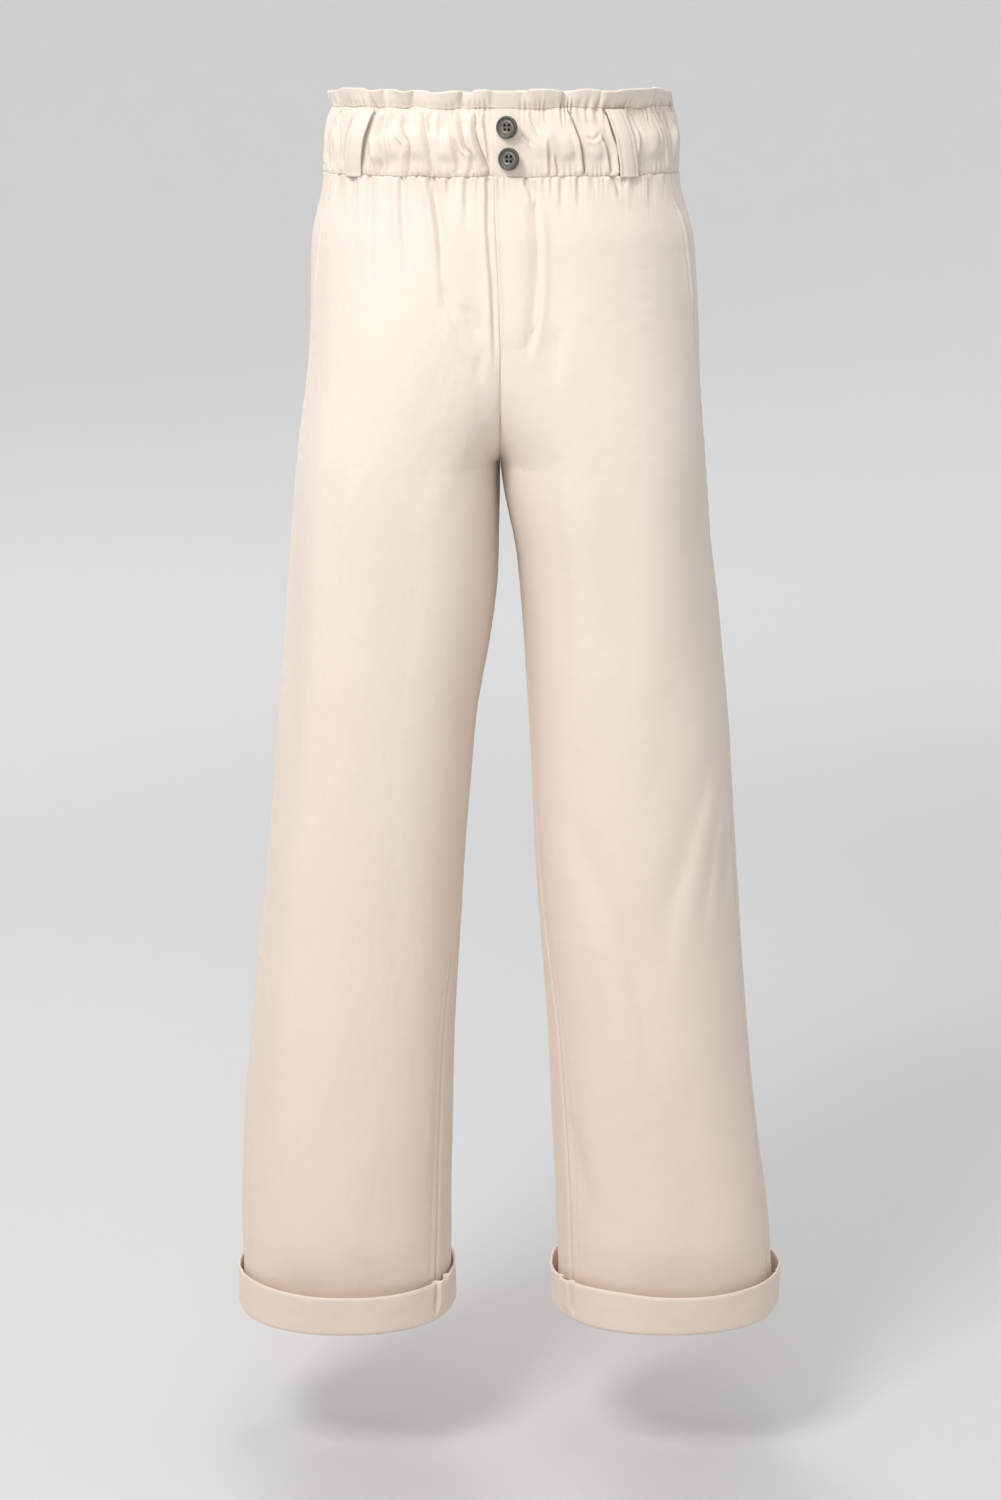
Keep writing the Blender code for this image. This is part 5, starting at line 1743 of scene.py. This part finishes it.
def metal_material():
    """Dark gunmetal, finely grained, worn a little brighter in patches and a little darker towards its rim.
    """
    made, nodes, links, shader = new_material("button_gunmetal")
    place = nodes.new("ShaderNodeTexCoord")
    patch = add_noise(nodes, links, place.outputs["Object"], 420.0, 4.0)
    fine = add_noise(nodes, links, place.outputs["Object"], 2400.0, 2.0)
    colour = add_mix(nodes, links, patch.outputs["Fac"], GUNMETAL, GUNMETAL_WORN)
    away = nodes.new("ShaderNodeVectorMath")
    away.operation = "LENGTH"
    links.new(place.outputs["Object"], away.inputs[0])
    rim = nodes.new("ShaderNodeMapRange")
    rim.inputs["From Min"].default_value = RIM_START
    rim.inputs["From Max"].default_value = RIM_FULL
    rim.inputs["To Max"].default_value = 0.6
    links.new(away.outputs["Value"], rim.inputs["Value"])
    darkened = add_mix(nodes, links, rim.outputs["Result"], GUNMETAL, GUNMETAL_RIM)
    links.new(colour.outputs["Result"], darkened.inputs["A"])
    links.new(darkened.outputs["Result"], shader.inputs["Base Color"])
    rough = nodes.new("ShaderNodeMapRange")
    rough.inputs["To Min"].default_value = 0.40
    rough.inputs["To Max"].default_value = 0.58
    links.new(patch.outputs["Fac"], rough.inputs["Value"])
    links.new(rough.outputs["Result"], shader.inputs["Roughness"])
    bump = add_bump(nodes, links, fine.outputs["Fac"], 0.15, 0.0001)
    links.new(bump.outputs["Normal"], shader.inputs["Normal"])
    shader.inputs["Metallic"].default_value = 0.75
    return made


# ----------------------------------------------------------------------------
# Building.
# ----------------------------------------------------------------------------

FLY_FOOT_SHARE = 0.08
FLY_STITCH_TOP = -0.030
POCKET_STITCH_PLACE = 0.0075
POCKET_STRIP_FROM = 0.013
POCKET_STRIP_TO = 0.0015
POCKET_STRIP_TOP = -0.042
POCKET_STRIP_BOTTOM = -0.142


def place(piece, node, slot="twill"):
    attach(piece, "root")
    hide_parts(node)


def build_panels(material):
    sheets = {}
    for side, face in [(side, face) for side in (LEFT, RIGHT) for face in ("front", "back")]:
        sheet = panel_sheet(side, face)
        name = f"{face}_panel_{side_name(side)}"
        piece = shell(name, sheet.grid, sheet.outwards, PANEL_WALL, sheet_coordinates(sheet), material)
        place(piece, f"{face}_{side_name(side)}")
        sheets[side, face] = sheet
    return sheets


def facing_rows(sheet, distances, top, bottom, from_inner):
    """Rows of a strip inside a panel, by distances from one of its edges."""
    points = []
    normals = []
    for r, height in enumerate(sheet.heights):
        if not bottom <= height <= top:
            continue
        row = sheet.grid[r][::-1] if from_inner else sheet.grid[r]
        outwards = sheet.outwards[r][::-1] if from_inner else sheet.outwards[r]
        at = distances(height) if callable(distances) else distances
        inset, facing = along_row(row, outwards, at, PANEL_WALL + SEAM_GAP)
        points.append(inset)
        normals.append(facing)
    return np.array(points), np.array(normals)


def build_facings(sheets, material):
    foot = FLY_BOTTOM + (FLY_CURVE_TOP - FLY_BOTTOM) * FLY_FOOT_SHARE
    shares = np.linspace(0.001, 1.0, 14)
    left_front = sheets[LEFT, "front"]
    grid, facing = facing_rows(left_front, lambda h: shares * fly_width(h), BAND_BOTTOM, foot, True)
    coordinates = np.stack([np.broadcast_to(shares * FLY_WIDTH, grid.shape[:2]), grid[..., 2]], axis=-1)
    piece = shell("fly_underside", grid, facing, FACING_WALL, coordinates, material)
    place(piece, "fly_facing")
    for side in (LEFT, RIGHT):
        distances = np.linspace(POCKET_STRIP_FROM, POCKET_STRIP_TO, 7)
        span = (POCKET_STRIP_TOP, POCKET_STRIP_BOTTOM)
        front, front_facing = facing_rows(sheets[side, "front"], distances, *span, False)
        back, back_facing = facing_rows(sheets[side, "back"], distances[::-1], *span, False)
        grid = np.concatenate([front, back], axis=1)
        facing = np.concatenate([front_facing, back_facing], axis=1)
        across = np.broadcast_to(np.arange(grid.shape[1]) * 0.002, grid.shape[:2])
        coordinates = np.stack([across, grid[..., 2]], axis=-1)
        piece = shell(f"pocket_strip_{side_name(side)}", grid, facing, FACING_WALL, coordinates, material)
        place(piece, f"pocket_facing_{side_name(side)}")


def build_waist(material):
    low, high = BAND_BOTTOM + HALF_GAP, BAND_TOP - HALF_GAP
    band = ring_sheet(np.linspace(high, low, BAND_ROWS), BAND_WALL, band_lift, band_shift, band_rise)
    flat = sheet_coordinates(band)
    piece = shell("gathered_waistband", band.grid, band.outwards, BAND_WALL, flat, material)
    place(piece, "waistband")
    low, high = BAND_TOP + HALF_GAP, FRILL_TOP
    frill = ring_sheet(np.linspace(high, low, FRILL_ROWS), FRILL_WALL, frill_lift, frill_shift, frill_rise)
    flat = sheet_coordinates(frill)
    piece = shell("paperbag_frill", frill.grid, frill.outwards, FRILL_WALL, flat, material)
    place(piece, "frill")
    return band, frill


def build_all():
    cloth = cloth_material("cream_cotton_twill", 0.30)
    thread = thread_material()
    metal = metal_material()
    # inside is the painted shade for the buttons' holes.
    inside = hole_shade_material()
    sheets = build_panels(cloth)
    build_facings(sheets, cloth)
    band, frill = build_waist(cloth)
    for side in (LEFT, RIGHT):
        piece = build_cuff(side, cloth)
        place(piece, f"cuff_{side_name(side)}")
    for loop in LOOPS:
        piece = build_loop(loop, cloth)
        place(piece, loop.name)
    for button in BUTTONS:
        piece = build_button(button, metal, inside)
        place(piece, button.name, "gunmetal")
    lines = [
        line_at_row(frill, FRILL_ROWS - 2),
        line_at_row(band, BAND_ROWS - 3),
        line_down(sheets[LEFT, "front"], fly_stitch_line, True, FLY_STITCH_TOP, FLY_BOTTOM + 0.003),
    ]
    for side in (LEFT, RIGHT):
        front = sheets[side, "front"]
        lines.append(line_down(front, POCKET_STITCH_PLACE, False, POCKET_TOP, POCKET_BOTTOM))
    stitches = build_stitches("stitching", lines, thread)
    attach(stitches, "root")


# ----------------------------------------------------------------------------
# Stage.
# ----------------------------------------------------------------------------

FLOOR_HEIGHT = -1.135
CAMERA_PLACE = (0.0, -2.8, 0.10)
CAMERA_PITCH = radians(12.3)
CAMERA_LENS = 81.4
# Painted shade on the floor round the trousers, lightening towards the wall over PAPER_SHADE_RUN.
PAPER_PAINTED_SHADE = (0.59, 0.59, 0.59)
PAPER_FAR = (0.82, 0.82, 0.82)
PAPER_SHADE_RUN = (2.20, 4.30)
WALL = 5.6
SWEEP = 2.6
SWEEP_STEPS = 24
WALL_TOP = 2.4
STAGE_SIDES = 128
WORLD_LIGHT = 0.64


def paper_material():
    """Studio paper with painted shade: darker under the trousers than at the wall."""
    made, nodes, links, shader = new_material("studio_paper")
    place = nodes.new("ShaderNodeTexCoord")
    away = nodes.new("ShaderNodeVectorMath")
    away.operation = "LENGTH"
    links.new(place.outputs["Object"], away.inputs[0])
    # Painted shade: the paper grows lighter with distance from the trousers.
    share = nodes.new("ShaderNodeMapRange")
    share.interpolation_type = "SMOOTHSTEP"
    share.inputs["From Min"].default_value, share.inputs["From Max"].default_value = PAPER_SHADE_RUN
    links.new(away.outputs["Value"], share.inputs["Value"])
    colour = add_mix(nodes, links, share.outputs["Result"], PAPER_PAINTED_SHADE, PAPER_FAR)
    links.new(colour.outputs["Result"], shader.inputs["Base Color"])
    shader.inputs["Roughness"].default_value = 0.95
    shader.inputs["Specular IOR Level"].default_value = 0.1
    return made


def build_backdrop():
    """A round floor that sweeps up into a wall on every side of the trousers."""
    profile = [(0.001, FLOOR_HEIGHT), (1.0, FLOOR_HEIGHT)]
    for step in range(SWEEP_STEPS + 1):
        turn = pi / 2 * step / SWEEP_STEPS
        profile.append((WALL - SWEEP + SWEEP * sin(turn), FLOOR_HEIGHT + SWEEP * (1 - cos(turn))))
    profile.append((WALL, WALL_TOP))
    turns = np.linspace(0.0, 2 * pi, STAGE_SIDES, endpoint=False)
    circle = np.stack([np.cos(turns), np.sin(turns), 0 * turns], axis=-1)
    rings = [radius * circle + np.array([0.0, 0.0, height]) for radius, height in profile]
    faces = grid_faces(len(profile), STAGE_SIDES, wrapped=True)
    backdrop = mesh_object("studio_backdrop", np.concatenate(rings), faces, paper_material())


def add_area(name, place, aim, size, power):
    lamp = bpy.data.lights.new(name, "AREA")
    lamp.shape = "RECTANGLE"
    lamp.size, lamp.size_y = size
    lamp.energy = power
    made = bpy.data.objects.new(name, lamp)
    bpy.context.scene.collection.objects.link(made)
    made.location = place
    direction = np.array(aim) - np.array(place)
    yaw = atan2(direction[1], direction[0]) - pi / 2
    pitch = atan2(direction[2], sqrt(direction[0] ** 2 + direction[1] ** 2)) + pi / 2
    made.rotation_euler = (pitch, 0.0, yaw)
    made.visible_camera = False


def build_stage():
    build_backdrop()
    add_area("key", (-1.1, -2.0, 1.9), (0.0, 0.0, -0.05), (0.9, 0.9), 57.0)
    add_area("overhead", (0.0, 0.05, 2.6), (0.0, 0.05, -1.0), (2.4, 0.5), 17.0)
    add_area("fill", (-0.4, -3.0, 0.7), (0.0, 0.0, -0.30), (1.8, 1.8), 16.0)
    add_area("rear", (-0.9, 2.6, 1.7), (0.0, 0.0, -0.40), (1.6, 1.6), 38.0)
    world = bpy.data.worlds.new("studio")
    world.use_nodes = True
    world.node_tree.nodes["Background"].inputs["Color"].default_value = (1.0, 1.0, 1.0, 1.0)
    world.node_tree.nodes["Background"].inputs["Strength"].default_value = WORLD_LIGHT
    scene = bpy.context.scene
    scene.world = world
    scene.view_settings.view_transform = "Standard"
    camera = bpy.data.cameras.new("camera")
    camera.lens = CAMERA_LENS
    camera.sensor_width = 36.0
    seen = bpy.data.objects.new("camera", camera)
    scene.collection.objects.link(seen)
    seen.location = CAMERA_PLACE
    seen.rotation_euler = (pi / 2 - CAMERA_PITCH, 0.0, 0.0)
    scene.camera = seen


build_all()
build_stage()
